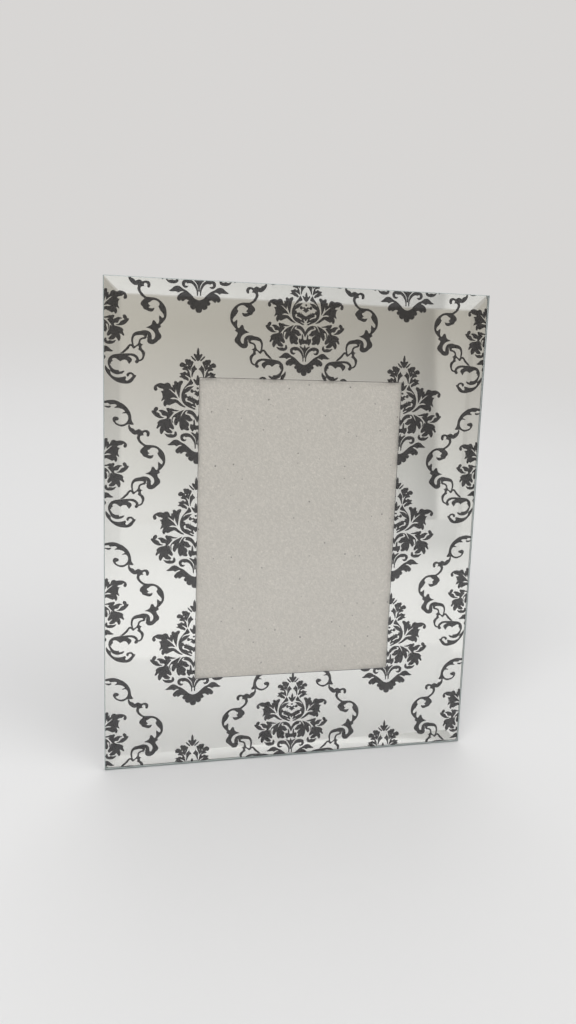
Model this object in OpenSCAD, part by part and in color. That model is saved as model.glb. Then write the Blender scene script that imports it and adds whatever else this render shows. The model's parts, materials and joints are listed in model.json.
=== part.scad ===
// Free-standing photo frame. One sheet of bevelled glass, mirrored on its back round a clear
// window, is taped to a flock-covered board. A grey card and a lift-out back fill the opening
// of the board, four turn buttons hold the back in, and a leg folds out on a stop hinge.
// Millimetres. +Z is up and the front looks along -Y. The origin is on the table, under the
// middle of the frame's outline. Every flat piece is drawn upright in the frame's own plane,
// with y as the depth behind the face of the glass, and stand() then leans it back.

/* [Glass] */
// Width of the glass
glass_w = 180; // [165:1:240]
// Height of the glass
glass_h = 225.5; // [210:0.5:300]
// Thickness of the glass
glass_t = 4; // [3:0.5:6]
// Width of the ground bevel along each edge
bevel_w = 8; // [4:0.5:12]
// How much thinner the bevel makes the rim
bevel_drop = 1.6; // [0.8:0.1:2]
// Bare strip between the mirror coat and the rim
coat_inset = 0.4; // [0.3:0.1:1]
// Thickness of the mirror coat and its paint
coat_t = 0.15; // [0.1:0.05:0.3]

/* [Picture] */
// Width of the print that the frame takes
print_w = 102; // [89:1:115]
// Height of the print that the frame takes
print_h = 152; // [127:1:165]
// How far the mirrored border laps the print at each side
lap_side = 3; // [1:0.25:6]
// How far the mirrored border laps the print at top and bottom
lap_end = 5.5; // [1:0.5:10]
// Room for the print between the mirror coat and the grey card
print_room = 1.1; // [0.2:0.1:1.4]
// Thickness of the grey card behind the window
card_t = 1; // [0.5:0.25:2]

/* [Boards] */
// How far the board stays inside the edge of the glass
board_inset = 8; // [4:0.5:12]
// Thickness of the board behind the glass
board_t = 4; // [3:0.5:6]
// Play of the card and the back in the opening of the board
opening_gap = 0.5; // [0.3:0.1:0.8]
// Thickness of the flocked paper
flock_t = 0.3; // [0.2:0.05:0.4]
// Thickness of the double-sided tape
tape_t = 0.5; // [0.3:0.1:1]
// How far the tape stays inside both edges of the board's border
tape_margin = 3; // [1:0.5:4]

/* [Stand] */
// Angle that the frame leans back from upright
lean = 10; // [8:0.5:14]
// Angle of the open leg from upright
splay = 9; // [7:0.5:10]
// Drop of the hinge line below the top edge of the back
hinge_drop = 39; // [32:1:50]

/* [Leg] */
// Thickness of the leg board without its flock
leg_t = 2.4; // [2:0.1:3]
// Width of the leg at the hinge
leg_top_w = 36; // [34:1:44]
// Width of the leg at the foot
leg_foot_w = 58; // [44:1:70]
// Cut across each corner of the foot
leg_corner = 3; // [1:0.5:5]
// Flock left off above the foot
foot_trim = 0.6; // [0.4:0.1:2]
// Room between the folded leg and the back
fold_gap = 0.4; // [0.3:0.1:0.8]

/* [Hinge] */
// Width of the hinge
hinge_w = 30; // [26:1:32]
// Thickness of the hinge sheet
leaf_t = 0.8; // [0.6:0.1:1]
// Length of one rolled knuckle
knuckle_w = 4; // [3:0.25:5]
// Height of the leaf on the back, above the hinge line
back_leaf_h = 26; // [22:1:30]
// Length of the leaf on the leg, below the hinge line
leg_leaf_h = 25; // [22:1:34]
// Radius of the rivets
rivet_r = 1.2; // [1:0.1:1.5]
// Radius of the rivet heads
rivet_head_r = 2.4; // [2:0.1:3]

/* [Turn buttons] */
// Radius of the eye round the screw
eye_r = 4.5; // [4:0.25:6]
// Radius of the nose
nose_r = 3.2; // [2:0.2:3.8]
// Distance from the screw to the middle of the nose
button_reach = 12; // [11:0.5:14]
// Thickness of the button
button_t = 0.8; // [0.6:0.1:1.2]
// Angle that the tip of the nose is bent up
tip_bend = 24; // [10:1:35]
// Distance from the edge of the opening to the screw
screw_offset = 7; // [5.5:0.5:8]
// Distance between the two buttons of one side
button_pitch = 90; // [60:1:110]
// Radius of the screw
screw_r = 1.5; // [1.2:0.1:1.8]
// Radius of the screw head
screw_head_r = 3; // [2.6:0.1:3.6]

/* [Hidden] */
$fn = 48;
// Overrun of every cut
over = 1;
// Play round a pin, rivet or screw
run_gap = 0.05;
// Play between two pieces that slide past each other
slide_gap = 0.1;

// The window in the coat, and the board with its opening
window_w = print_w - 2 * lap_side;
window_h = print_h - 2 * lap_end;
board_w = glass_w - 2 * board_inset;
board_h = glass_h - 2 * board_inset;
opening_w = print_w + 2 * opening_gap;
opening_h = print_h + 2 * opening_gap;
border_w = (board_w - opening_w) / 2;
border_h = (board_h - opening_h) / 2;

// Depths behind the face of the glass
coat_y = glass_t;
card_y = coat_y + coat_t + print_room;
tape_y = coat_y + coat_t;
board_y = tape_y + tape_t;
board_rear = board_y + board_t;
back_y = card_y + card_t;
back_t = board_rear - back_y;
flock_rear = board_rear + flock_t;

// The hinge: the knuckle is as deep as the leg, so both leaves run straight into their rolls
leg_depth = leg_t + 2 * flock_t;
bore_r = (leg_depth + fold_gap - leaf_t) / 2;
pin_r = bore_r - run_gap;
knuckle_r = bore_r + leaf_t;
seam_w = leaf_t * 0.7;
axis_y = flock_rear + knuckle_r;
axis_z = glass_h / 2 + print_h / 2 - hinge_drop;
opening_angle = lean + splay;
knuckle_room = knuckle_r + 0.5 * leaf_t;
outer_knuckle_x = hinge_w / 2 - knuckle_w / 2;
inner_knuckle_x = outer_knuckle_x - knuckle_w - slide_gap;
tongue_w = 2 * (inner_knuckle_x - knuckle_w / 2 - leaf_t);
// The tongue is long enough to meet the leaf on the back when the leg is open
tongue_h = (bore_r * (1 + cos(opening_angle)) - run_gap) / sin(opening_angle);
leaf_corner_r = hinge_w * 0.12;
pin_head_r = pin_r + 0.7 * leaf_t;
pin_head_t = leaf_t;
leg_leaf_w = 2 * inner_knuckle_x + knuckle_w;

// Rivets: their places, the recess for the clinched end and the height of the domed head
back_rivet_x = hinge_w / 4;
back_rivet_z = back_leaf_h * 0.66;
leg_rivet_x = leg_leaf_w / 4;
leg_rivet_z = -leg_leaf_h * 0.64;
clinch_r = rivet_r * 1.6;
clinch_t = rivet_r * 0.4;
rivet_head_h = rivet_head_r * 0.42;

// The leg, drawn folded, from just under the knuckles to past the table
leg_front = axis_y + bore_r - leg_depth;
leg_top = axis_z - knuckle_room;

// The stand: where the leaning hinge line lies and how deep the whole outline is
lift = glass_t * sin(lean);
hinge_back = axis_y * cos(lean) + axis_z * sin(lean);
hinge_up = axis_z * cos(lean) - axis_y * sin(lean) + lift;
outline_front = min(bevel_w * sin(lean), bevel_drop * cos(lean));
board_foot = hinge_back + hinge_up * tan(splay) + (bore_r - flock_t) / cos(splay);
flock_foot = hinge_back + (hinge_up - foot_trim) * tan(splay) + bore_r / cos(splay);
outline_rear = max(board_foot, flock_foot);
outline_mid = (outline_front + outline_rear) / 2;
leg_run = hinge_up / cos(splay);

// Turn buttons and their screws
screw_x = opening_w / 2 + screw_offset;
button_y = flock_rear + slide_gap;
head_y = button_y + button_t + slide_gap;
head_rim_h = screw_head_r * 0.25;
head_dome_h = screw_head_r * 0.28;
recess_w = screw_head_r * 0.24;
recess_l = screw_head_r * 1.1;
recess_h = screw_head_r * 0.35;
screw_tip_h = screw_r;
screw_depth = board_t * 0.8;
tip_l = nose_r;

// Steps of the curves that are drawn with points
dome_steps = 6;
eye_steps = 20;
nose_steps = 12;

// Leans a piece back and sets the rear bottom edge of the glass on the table
module stand() {
    translate([0, -outline_mid, lift])
        rotate([-lean, 0, 0])
            children();
}

// Swings a piece of the folded leg out to its stop
module swing() {
    translate([0, axis_y, axis_z])
        rotate([opening_angle, 0, 0])
            translate([0, -axis_y, -axis_z])
                children();
}

// A sheet of size w by h, centred on the glass, from depth y on
module sheet(w, h, y, t) {
    translate([-w / 2, y, glass_h / 2 - h / 2])
        cube([w, t, h]);
}

// Gives an outline drawn in x and z the thickness t, from y = 0 on
module thick(t) {
    rotate([90, 0, 0])
        mirror([0, 0, 1])
            linear_extrude(t)
                children();
}

// A round bar along y, from depth y on
module bar(r, y, t) {
    translate([0, y, 0])
        rotate([-90, 0, 0])
            cylinder(r = r, h = t);
}

// A turned piece along y, from its profile of radii and depths
module turned(profile) {
    rotate([-90, 0, 0])
        rotate_extrude()
            polygon(profile);
}

// Profile of a dome of radius r and height h that stands on depth y: the arc of a ball's cap
function dome_profile(r, h, y) =
    let (ball_r = (r * r + h * h) / (2 * h), edge = asin(r / ball_r))
    [for (i = [0:dome_steps])
        [ball_r * sin(edge * (1 - i / dome_steps)),
         y + h - ball_r + ball_r * cos(edge * (1 - i / dome_steps))]];

// Points on an arc of radius r round x = c, from angle a0 to a1
function arc(c, r, a0, a1, steps) =
    [for (i = [0:steps])
        let (a = a0 + (a1 - a0) * i / steps)
        [c + r * cos(a), r * sin(a)]];

// Rectangle from z = z0 to z1 with both corners at z1 rounded
module tongue_outline(w, z0, z1, r) {
    up = z1 > z0 ? 1 : -1;
    low = min(z0, z1 - up * r);
    translate([-w / 2, low])
        square([w, abs(z1 - up * r - z0)]);
    low_inner = min(z0, z1);
    translate([-w / 2 + r, low_inner])
        square([w - 2 * r, abs(z1 - z0)]);
    for (side = [-1, 1])
        translate([side * (w / 2 - r), z1 - up * r])
            circle(r = r);
}

// Rim of the glass in section, across a sheet of the given width
function bevel_section(w) = [
    [-w / 2, bevel_drop], [-w / 2 + bevel_w, 0], [w / 2 - bevel_w, 0],
    [w / 2, bevel_drop], [w / 2, glass_t], [-w / 2, glass_t]
];

// Two crossed sections give the four bevels their mitred corners
module front_glass() {
    color([0.74, 0.82, 0.80, 0.5])
        stand()
            translate([0, 0, glass_h / 2])
                intersection() {
                    linear_extrude(glass_h, center = true)
                        polygon(bevel_section(glass_w));
                    rotate([0, 90, 0])
                        linear_extrude(glass_w, center = true)
                            polygon([for (p = bevel_section(glass_h)) [-p[0], p[1]]]);
                }
}

module mirror_coat() {
    color([0.80, 0.80, 0.79])
        stand()
            difference() {
                sheet(glass_w - 2 * coat_inset, glass_h - 2 * coat_inset, coat_y, coat_t);
                sheet(window_w, window_h, coat_y - over, coat_t + 2 * over);
            }
}

// A strip of tape on the upper or lower border of the board
module tape_flat(side) {
    color([0.93, 0.93, 0.90])
        stand()
            translate([0, 0, side * (opening_h + border_h) / 2])
                sheet(board_w - 2 * tape_margin, border_h - 2 * tape_margin, tape_y, tape_t);
}

// A strip of tape on the left or right border, between the other two
module tape_upright(side) {
    color([0.93, 0.93, 0.90])
        stand()
            translate([side * (opening_w + border_w) / 2, 0, 0])
                sheet(border_w - 2 * tape_margin, opening_h, tape_y, tape_t);
}

// Puts its children at one of the four turn buttons
module at_button(side, level) {
    translate([side * screw_x, 0, glass_h / 2 + level * button_pitch / 2])
        children();
}

// Holes for the four screws
module screw_holes(y, t) {
    for (side = [-1, 1])
        for (level = [-1, 1])
            at_button(side, level)
                bar(screw_r + run_gap, y, t);
}

module backing_board() {
    color([0.62, 0.50, 0.37])
        stand()
            difference() {
                sheet(board_w, board_h, board_y, board_t);
                sheet(opening_w, opening_h, board_y - over, board_t + 2 * over);
                screw_holes(board_rear - screw_depth - over, screw_depth + 2 * over);
            }
}

// The flocked paper covers the rear of the board and is turned over its outer edges
module backing_flock() {
    color([0.07, 0.07, 0.08])
        stand()
            difference() {
                sheet(board_w + 2 * flock_t, board_h + 2 * flock_t, board_y, board_t + flock_t);
                sheet(board_w, board_h, board_y - over, board_t + over);
                sheet(opening_w, opening_h, board_y - over, board_t + 2 * over);
                screw_holes(board_rear - over, flock_t + 2 * over);
            }
}

module photo_card() {
    color([0.72, 0.70, 0.66])
        stand()
            sheet(print_w, print_h, card_y, card_t);
}

// Puts its children at both rivets of the leaf on the back
module at_back_rivets() {
    for (side = [-1, 1])
        translate([side * back_rivet_x, 0, axis_z + back_rivet_z])
            children();
}

// Puts its children at both rivets of the leaf on the leg, while it is folded
module at_leg_rivets() {
    for (side = [-1, 1])
        translate([side * leg_rivet_x, 0, axis_z + leg_rivet_z])
            children();
}

// A rivet along y, clinched at depth y and with its head on a leaf at y + t
module rivet(y, t) {
    turned(concat(
        [[0, y], [clinch_r, y], [clinch_r, y + clinch_t], [rivet_r, y + clinch_t],
         [rivet_r, y + t]],
        dome_profile(rivet_head_r, rivet_head_h, y + t)
    ));
}

// Hole for a rivet, with the recess for its clinched end at depth y
module rivet_hole(y, t) {
    bar(rivet_r + run_gap, y - over, t + 2 * over);
    bar(clinch_r + run_gap, y - over, over + clinch_t + run_gap);
}

module easel_back() {
    color([0.47, 0.36, 0.26])
        stand()
            difference() {
                sheet(print_w, print_h, back_y, back_t);
                at_back_rivets()
                    rivet_hole(back_y, back_t);
            }
}

module easel_back_flock() {
    color([0.09, 0.09, 0.10])
        stand()
            difference() {
                sheet(print_w, print_h, board_rear, flock_t);
                at_back_rivets()
                    bar(rivet_r + run_gap, board_rear - over, flock_t + 2 * over);
            }
}

// Ring of one knuckle, w long, round the hinge line
module knuckle_ring(w) {
    rotate([0, 90, 0])
        difference() {
            cylinder(r = knuckle_r, h = w, center = true);
            cylinder(r = bore_r, h = w + 2 * over, center = true);
        }
}

// One knuckle rolled from a strip that comes from above on the side of the back, with the
// open seam where the end of the strip stops short of it
module back_knuckle() {
    difference() {
        union() {
            knuckle_ring(knuckle_w);
            translate([-knuckle_w / 2, -knuckle_r, 0])
                cube([knuckle_w, leaf_t, knuckle_room + over]);
        }
        translate([-knuckle_w / 2 - over, -bore_r, 0])
            cube([knuckle_w + 2 * over, seam_w, knuckle_r + over]);
        translate([-knuckle_w / 2 - over, -knuckle_r - over, knuckle_room])
            cube([knuckle_w + 2 * over, leaf_t + 2 * over, 2 * over]);
    }
}

// The leaf on the back stands above the hinge line and carries the two outer knuckles
module hinge_back_leaf() {
    color([0.70, 0.70, 0.71])
        stand()
            difference() {
                translate([0, axis_y, axis_z]) {
                    translate([0, -knuckle_r, 0])
                        thick(leaf_t)
                            tongue_outline(hinge_w, knuckle_room, back_leaf_h, leaf_corner_r);
                    for (side = [-1, 1])
                        translate([side * outer_knuckle_x, 0, 0])
                            back_knuckle();
                }
                at_back_rivets()
                    bar(rivet_r + run_gap, flock_rear - over, leaf_t + 2 * over);
            }
}

// The pin has a peened head beyond each outer knuckle
module hinge_pin() {
    color([0.62, 0.62, 0.64])
        stand()
            translate([0, axis_y, axis_z])
                rotate([0, 90, 0]) {
                    cylinder(r = pin_r, h = hinge_w + 2 * slide_gap, center = true);
                    for (side = [-1, 1])
                        translate([0, 0, side * (hinge_w + 2 * slide_gap + pin_head_t) / 2])
                            cylinder(r = pin_head_r, h = pin_head_t, center = true);
                }
}

module hinge_back_rivets() {
    color([0.66, 0.66, 0.67])
        stand()
            at_back_rivets()
                rivet(back_y, flock_rear + leaf_t - back_y);
}

// The leaf on the leg hangs below the hinge line. Its two knuckles are rolled towards the
// back, and between them a straight tongue passes the pin and stops the leg when it is open
module hinge_leg_leaf() {
    plate_top = -knuckle_room;
    color([0.70, 0.70, 0.71])
        stand()
            swing()
                difference() {
                    translate([0, axis_y, axis_z]) {
                        translate([0, bore_r, 0])
                            thick(leaf_t) {
                                tongue_outline(leg_leaf_w, plate_top, -leg_leaf_h, leaf_corner_r);
                                tongue_outline(tongue_w, plate_top, tongue_h, leaf_t);
                            }
                        for (side = [-1, 1])
                            translate([side * inner_knuckle_x, 0, 0])
                                rotate([180, 0, 0])
                                    back_knuckle();
                    }
                    at_leg_rivets()
                        bar(rivet_r + run_gap, leg_front, leg_depth + leaf_t + over);
                }
}

module hinge_leg_rivets() {
    color([0.66, 0.66, 0.67])
        stand()
            swing()
                at_leg_rivets()
                    rivet(leg_front + flock_t, leg_depth - flock_t + leaf_t);
}

// Outline of the folded leg: it widens down to the foot, where both corners are cut
module leg_outline() {
    foot = axis_z - leg_run;
    polygon([
        [-leg_top_w / 2, leg_top], [leg_top_w / 2, leg_top],
        [leg_foot_w / 2, foot + 2 * leg_corner],
        [leg_foot_w / 2 - leg_corner, foot - leg_corner],
        [-leg_foot_w / 2 + leg_corner, foot - leg_corner],
        [-leg_foot_w / 2, foot + 2 * leg_corner]
    ]);
}

// A layer of the leg, swung out and cut level at the given height above the table
module leg_layer(y, t, height) {
    difference() {
        stand()
            swing()
                difference() {
                    translate([0, y, 0])
                        thick(t)
                            leg_outline();
                    at_leg_rivets()
                        bar(rivet_r + run_gap, y - over, t + 2 * over);
                    at_leg_rivets()
                        bar(clinch_r + run_gap, leg_front - over, over + flock_t + clinch_t + run_gap);
                }
        translate([-leg_foot_w, -leg_foot_w, height - glass_w])
            cube([2 * leg_foot_w, 2 * leg_foot_w, glass_w]);
    }
}

module easel_leg() {
    color([0.47, 0.36, 0.26])
        leg_layer(leg_front + flock_t, leg_t, 0);
}

module leg_flock_front() {
    color([0.09, 0.09, 0.10])
        leg_layer(leg_front, flock_t, foot_trim);
}

module leg_flock_rear() {
    color([0.09, 0.09, 0.10])
        leg_layer(leg_front + flock_t + leg_t, flock_t, foot_trim);
}

// Outline of a turn button: the eye and the nose, joined by their common tangents
module button_outline() {
    tangent = acos((eye_r - nose_r) / button_reach);
    polygon(concat(
        arc(0, eye_r, tangent, 360 - tangent, eye_steps),
        arc(button_reach, nose_r, -tangent, tangent, nose_steps)
    ));
}

// A stamped button with the tip of its nose bent up, so that a finger can turn it. Its nose
// lies over the back and points to the middle of the frame
module turn_button(side, level) {
    bend_x = button_reach + nose_r - tip_l;
    end_x = button_reach + nose_r + over;
    rise = (end_x - bend_x) * tan(tip_bend);
    slope_t = button_t / cos(tip_bend);
    color([0.74, 0.74, 0.75])
        stand()
            at_button(side, level)
                translate([0, button_y, 0])
                    rotate([0, side > 0 ? 180 : 0, 0])
                        difference() {
                            intersection() {
                                thick(button_t + rise + over)
                                    button_outline();
                                linear_extrude(2 * eye_r + over, center = true)
                                    polygon([
                                        [-eye_r - over, 0], [bend_x, 0], [end_x, rise],
                                        [end_x, rise + slope_t], [bend_x, button_t],
                                        [-eye_r - over, button_t]
                                    ]);
                            }
                            bar(screw_r + run_gap, -over, button_t + 2 * over);
                        }
}

// A pan-head screw with a cross recess, its point in the board
module button_screw(side, level) {
    head_h = head_rim_h + head_dome_h;
    point_y = board_rear - screw_depth;
    color([0.68, 0.68, 0.70])
        stand()
            at_button(side, level)
                difference() {
                    turned(concat(
                        [[0, point_y], [screw_r / 4, point_y], [screw_r, point_y + screw_tip_h],
                         [screw_r, head_y], [screw_head_r, head_y]],
                        dome_profile(screw_head_r, head_dome_h, head_y + head_rim_h)
                    ));
                    translate([0, head_y + head_h - recess_h, 0])
                        thick(recess_h + over) {
                            square([recess_l, recess_w], center = true);
                            square([recess_w, recess_l], center = true);
                        }
                }
}

front_glass();
mirror_coat();
tape_flat(1);  // tape_top
tape_flat(-1);  // tape_bottom
tape_upright(-1);  // tape_left
tape_upright(1);  // tape_right
backing_board();
backing_flock();
photo_card();
easel_back();
easel_back_flock();
hinge_back_leaf();
hinge_pin();
hinge_back_rivets();
hinge_leg_leaf();
hinge_leg_rivets();
easel_leg();
leg_flock_front();
leg_flock_rear();
turn_button(-1, 1);  // turn_button_left_upper
turn_button(1, 1);  // turn_button_right_upper
turn_button(-1, -1);  // turn_button_left_lower
turn_button(1, -1);  // turn_button_right_lower
button_screw(-1, 1);  // button_screw_left_upper
button_screw(1, 1);  // button_screw_right_upper
button_screw(-1, -1);  // button_screw_left_lower
button_screw(1, -1);  // button_screw_right_lower
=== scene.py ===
"""Free-standing mirrored photo frame: bevelled glass, silver, printed damask, card, flocked back and leg."""

import json
import math

import bmesh
import bpy
from bpy.props import FloatProperty, FloatVectorProperty, PointerProperty
from bpy.types import NodeSocket, Operator, Panel, PropertyGroup
from mathutils import Matrix, Vector


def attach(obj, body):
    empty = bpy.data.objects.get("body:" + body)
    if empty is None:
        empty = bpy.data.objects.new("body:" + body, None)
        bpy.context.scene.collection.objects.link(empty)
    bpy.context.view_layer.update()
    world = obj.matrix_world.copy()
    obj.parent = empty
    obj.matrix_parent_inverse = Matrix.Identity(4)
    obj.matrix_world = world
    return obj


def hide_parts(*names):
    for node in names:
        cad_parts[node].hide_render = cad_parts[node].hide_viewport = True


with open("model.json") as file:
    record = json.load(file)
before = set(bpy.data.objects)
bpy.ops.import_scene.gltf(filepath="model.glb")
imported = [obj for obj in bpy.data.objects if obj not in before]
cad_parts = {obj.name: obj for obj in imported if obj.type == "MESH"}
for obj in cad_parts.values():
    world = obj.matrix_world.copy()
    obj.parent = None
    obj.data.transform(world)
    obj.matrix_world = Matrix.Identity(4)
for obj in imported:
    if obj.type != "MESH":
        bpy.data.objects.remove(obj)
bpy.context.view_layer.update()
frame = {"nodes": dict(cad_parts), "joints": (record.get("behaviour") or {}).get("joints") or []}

bl_info = {
    "name": "Mirrored Photo Frame",
    "version": (1, 0, 0),
    "blender": (4, 5, 0),
    "location": "View3D > Sidebar > Photo Frame",
    "description": "Dresses a packed photo frame with glass, silver, damask print, card, flock and nickel",
    "category": "Object",
}

MM = 0.001
NODES = frame["nodes"]
FRAME_BODY = "frame"
CORNERS = ((-1, -1), (1, -1), (1, 1), (-1, 1))


def reach(points):
    """Lowest and highest corner of the box round some points."""
    points = list(points)
    return [Vector([extreme(p[i] for p in points) for i in range(3)]) for extreme in (min, max)]


def panel_matrix():
    """The leaning glass's own frame: x right, y down the face, z into the depth, from the face's centre."""
    turn = next(joint for joint in frame["joints"] if joint["name"] == "turn_left_upper")
    depth = Vector(turn["axis"]).normalized()
    right = Vector((1, 0, 0))
    axes = Matrix((right, depth.cross(right), depth))
    low, high = reach(axes @ vertex.co for vertex in NODES["front_glass"].data.vertices)
    middle = Vector(((low.x + high.x) / 2, (low.y + high.y) / 2, low.z))
    return Matrix.Translation(axes.transposed() @ middle) @ axes.transposed().to_4x4()


PANEL = panel_matrix()


def panel_box(node):
    """Lowest and highest corner of a node in the frame of the glass."""
    return reach(PANEL.inverted() @ vertex.co for vertex in NODES[node].data.vertices)


GLASS_HIGH = panel_box("front_glass")[1]
COAT_LOW, COAT_HIGH = panel_box("mirror_coat")


# Sizes and colours that a user would change

LENGTH = {"unit": "LENGTH", "subtype": "DISTANCE"}


class GlassSizes(PropertyGroup):
    """Sizes of the bevelled glass and its silvered back."""

    bevel_width: FloatProperty(
        name="Bevel Width", description="How far each bevel reaches in from the edge",
        default=7.5 * MM, min=2 * MM, max=25 * MM, **LENGTH)
    bevel_drop: FloatProperty(
        name="Bevel Drop", description="How much thinner the glass is at the outer end of a bevel",
        default=1.6 * MM, min=0.2 * MM, max=3 * MM, **LENGTH)
    arris: FloatProperty(
        name="Arris", description="Width of the small ground chamfer along each edge",
        default=0.3 * MM, min=0.05 * MM, max=1 * MM, **LENGTH)
    window_width: FloatProperty(
        name="Window Width", description="Width of the clear window in the silver",
        default=96 * MM, min=50 * MM, max=150 * MM, **LENGTH)
    window_height: FloatProperty(
        name="Window Height", description="Height of the clear window in the silver",
        default=141 * MM, min=50 * MM, max=200 * MM, **LENGTH)
    ink_thickness: FloatProperty(
        name="Ink Thickness", description="Thickness of the print between glass and silver",
        default=0.02 * MM, min=0.01 * MM, max=0.05 * MM, **LENGTH)
    ink_room: FloatProperty(
        name="Ink Room", description="How far the silver's face lies behind the glass",
        default=0.03 * MM, min=0.01 * MM, max=0.08 * MM, **LENGTH)
    # The dark line round the window is ink laid as painted shade along the window's edge.
    window_shade_line: FloatProperty(
        name="Window Line", description="Width of the dark line round the window",
        default=0.2 * MM, min=0.1 * MM, max=2 * MM, **LENGTH)


class DamaskSizes(PropertyGroup):
    """Spacing and size of the printed damask."""

    column_pitch: FloatProperty(
        name="Column Pitch", description="Distance between neighbouring columns of medallions",
        default=48.8 * MM, min=20 * MM, max=100 * MM, **LENGTH)
    size: FloatProperty(
        name="Size", description="Scale of every motif", default=1.0064, min=0.5, max=2, subtype="FACTOR")
    small_width: FloatProperty(
        name="Small Width", description="Width of a scrolled medallion as a share of a plain one",
        default=0.91, min=0.5, max=1, subtype="FACTOR")
    small_height: FloatProperty(
        name="Small Height", description="Height of a scrolled medallion as a share of a plain one",
        default=0.93, min=0.5, max=1, subtype="FACTOR")
    swell: FloatProperty(
        name="Swell", description="How far the ink spreads beyond its outlines",
        default=0.075 * MM, min=0, max=0.3 * MM, **LENGTH)


class FinishColours(PropertyGroup):
    """Colours of the finishes."""

    glass: FloatVectorProperty(
        name="Glass", description="Tint of the float glass",
        default=(0.985, 0.99, 0.985), subtype="COLOR")
    # The glass's green tint, darkened far below it as painted shade on the ground edge.
    glass_edge_tint_and_shade: FloatVectorProperty(
        name="Glass Edge", description="Tint seen through the ground edge",
        default=(0.075, 0.1, 0.1), subtype="COLOR")
    glass_arris: FloatVectorProperty(
        name="Glass Arris", description="Frosted chamfers of the glass",
        default=(0.4, 0.46, 0.45), subtype="COLOR")
    silver: FloatVectorProperty(
        name="Silver", description="Colour of the silver",
        default=(0.87, 0.865, 0.85), subtype="COLOR")
    paint: FloatVectorProperty(
        name="Paint", description="Backing paint behind the silver",
        default=(0.2, 0.2, 0.205), subtype="COLOR")
    ink: FloatVectorProperty(
        name="Ink", description="Charcoal printing ink",
        default=(0.0075, 0.0064, 0.0077), subtype="COLOR")
    card: FloatVectorProperty(
        name="Card", description="Grey recycled card",
        default=(0.565, 0.527, 0.482), subtype="COLOR")
    flock: FloatVectorProperty(
        name="Flock", description="Black flocked paper",
        default=(0.016, 0.016, 0.018), subtype="COLOR")
    hardboard: FloatVectorProperty(
        name="Hardboard", description="Bare hardboard",
        default=(0.24, 0.145, 0.08), subtype="COLOR")
    fibreboard: FloatVectorProperty(
        name="Fibreboard", description="Bare fibreboard",
        default=(0.5, 0.37, 0.24), subtype="COLOR")
    foam: FloatVectorProperty(
        name="Foam", description="White foam tape",
        default=(0.82, 0.82, 0.78), subtype="COLOR")
    nickel: FloatVectorProperty(
        name="Nickel", description="Nickel plate on the fittings",
        default=(0.66, 0.63, 0.58), subtype="COLOR")


class StageSizes(PropertyGroup):
    """Floor, backdrop and camera."""

    floor_size: FloatProperty(
        name="Floor Size", description="Side of the square floor", default=12, min=2, max=40, **LENGTH)
    # Where the painted reflection in the mirror shows the table ending.
    table_front: FloatProperty(
        name="Table Front", description="Where the mirror sees the table end, in front of the frame",
        default=-0.31, min=-3, max=-0.1, **LENGTH)
    floor_colour: FloatVectorProperty(
        name="Floor Colour", description="Pale floor",
        default=(0.845, 0.842, 0.84), subtype="COLOR")
    backdrop: FloatVectorProperty(
        name="Backdrop", description="Backdrop behind the frame",
        default=(0.685, 0.672, 0.66), subtype="COLOR")
    camera_place: FloatVectorProperty(
        name="Camera Place", description="Where the camera stands",
        default=(-0.1077, -0.3826, 0.2602), size=3, subtype="TRANSLATION")
    camera_turn: FloatVectorProperty(
        name="Camera Turn", description="How the camera is turned",
        default=tuple(math.radians(angle) for angle in (70.153, -4.327, -13.722)), size=3, subtype="EULER")
    lens: FloatProperty(
        name="Lens", description="Focal length for a sensor whose long side is 36 mm",
        default=30.92, min=10, max=200, unit="CAMERA")


# Outlines of the damask, in millimetres across and down the face, seen from the front. Each outline is a
# list of runs. A run starts at a corner and goes on smoothly through its other points, and the outline closes
# on itself. A motif is drawn on one side of its axis, which mirrors it. Its tip goes to a place in a column.

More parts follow.
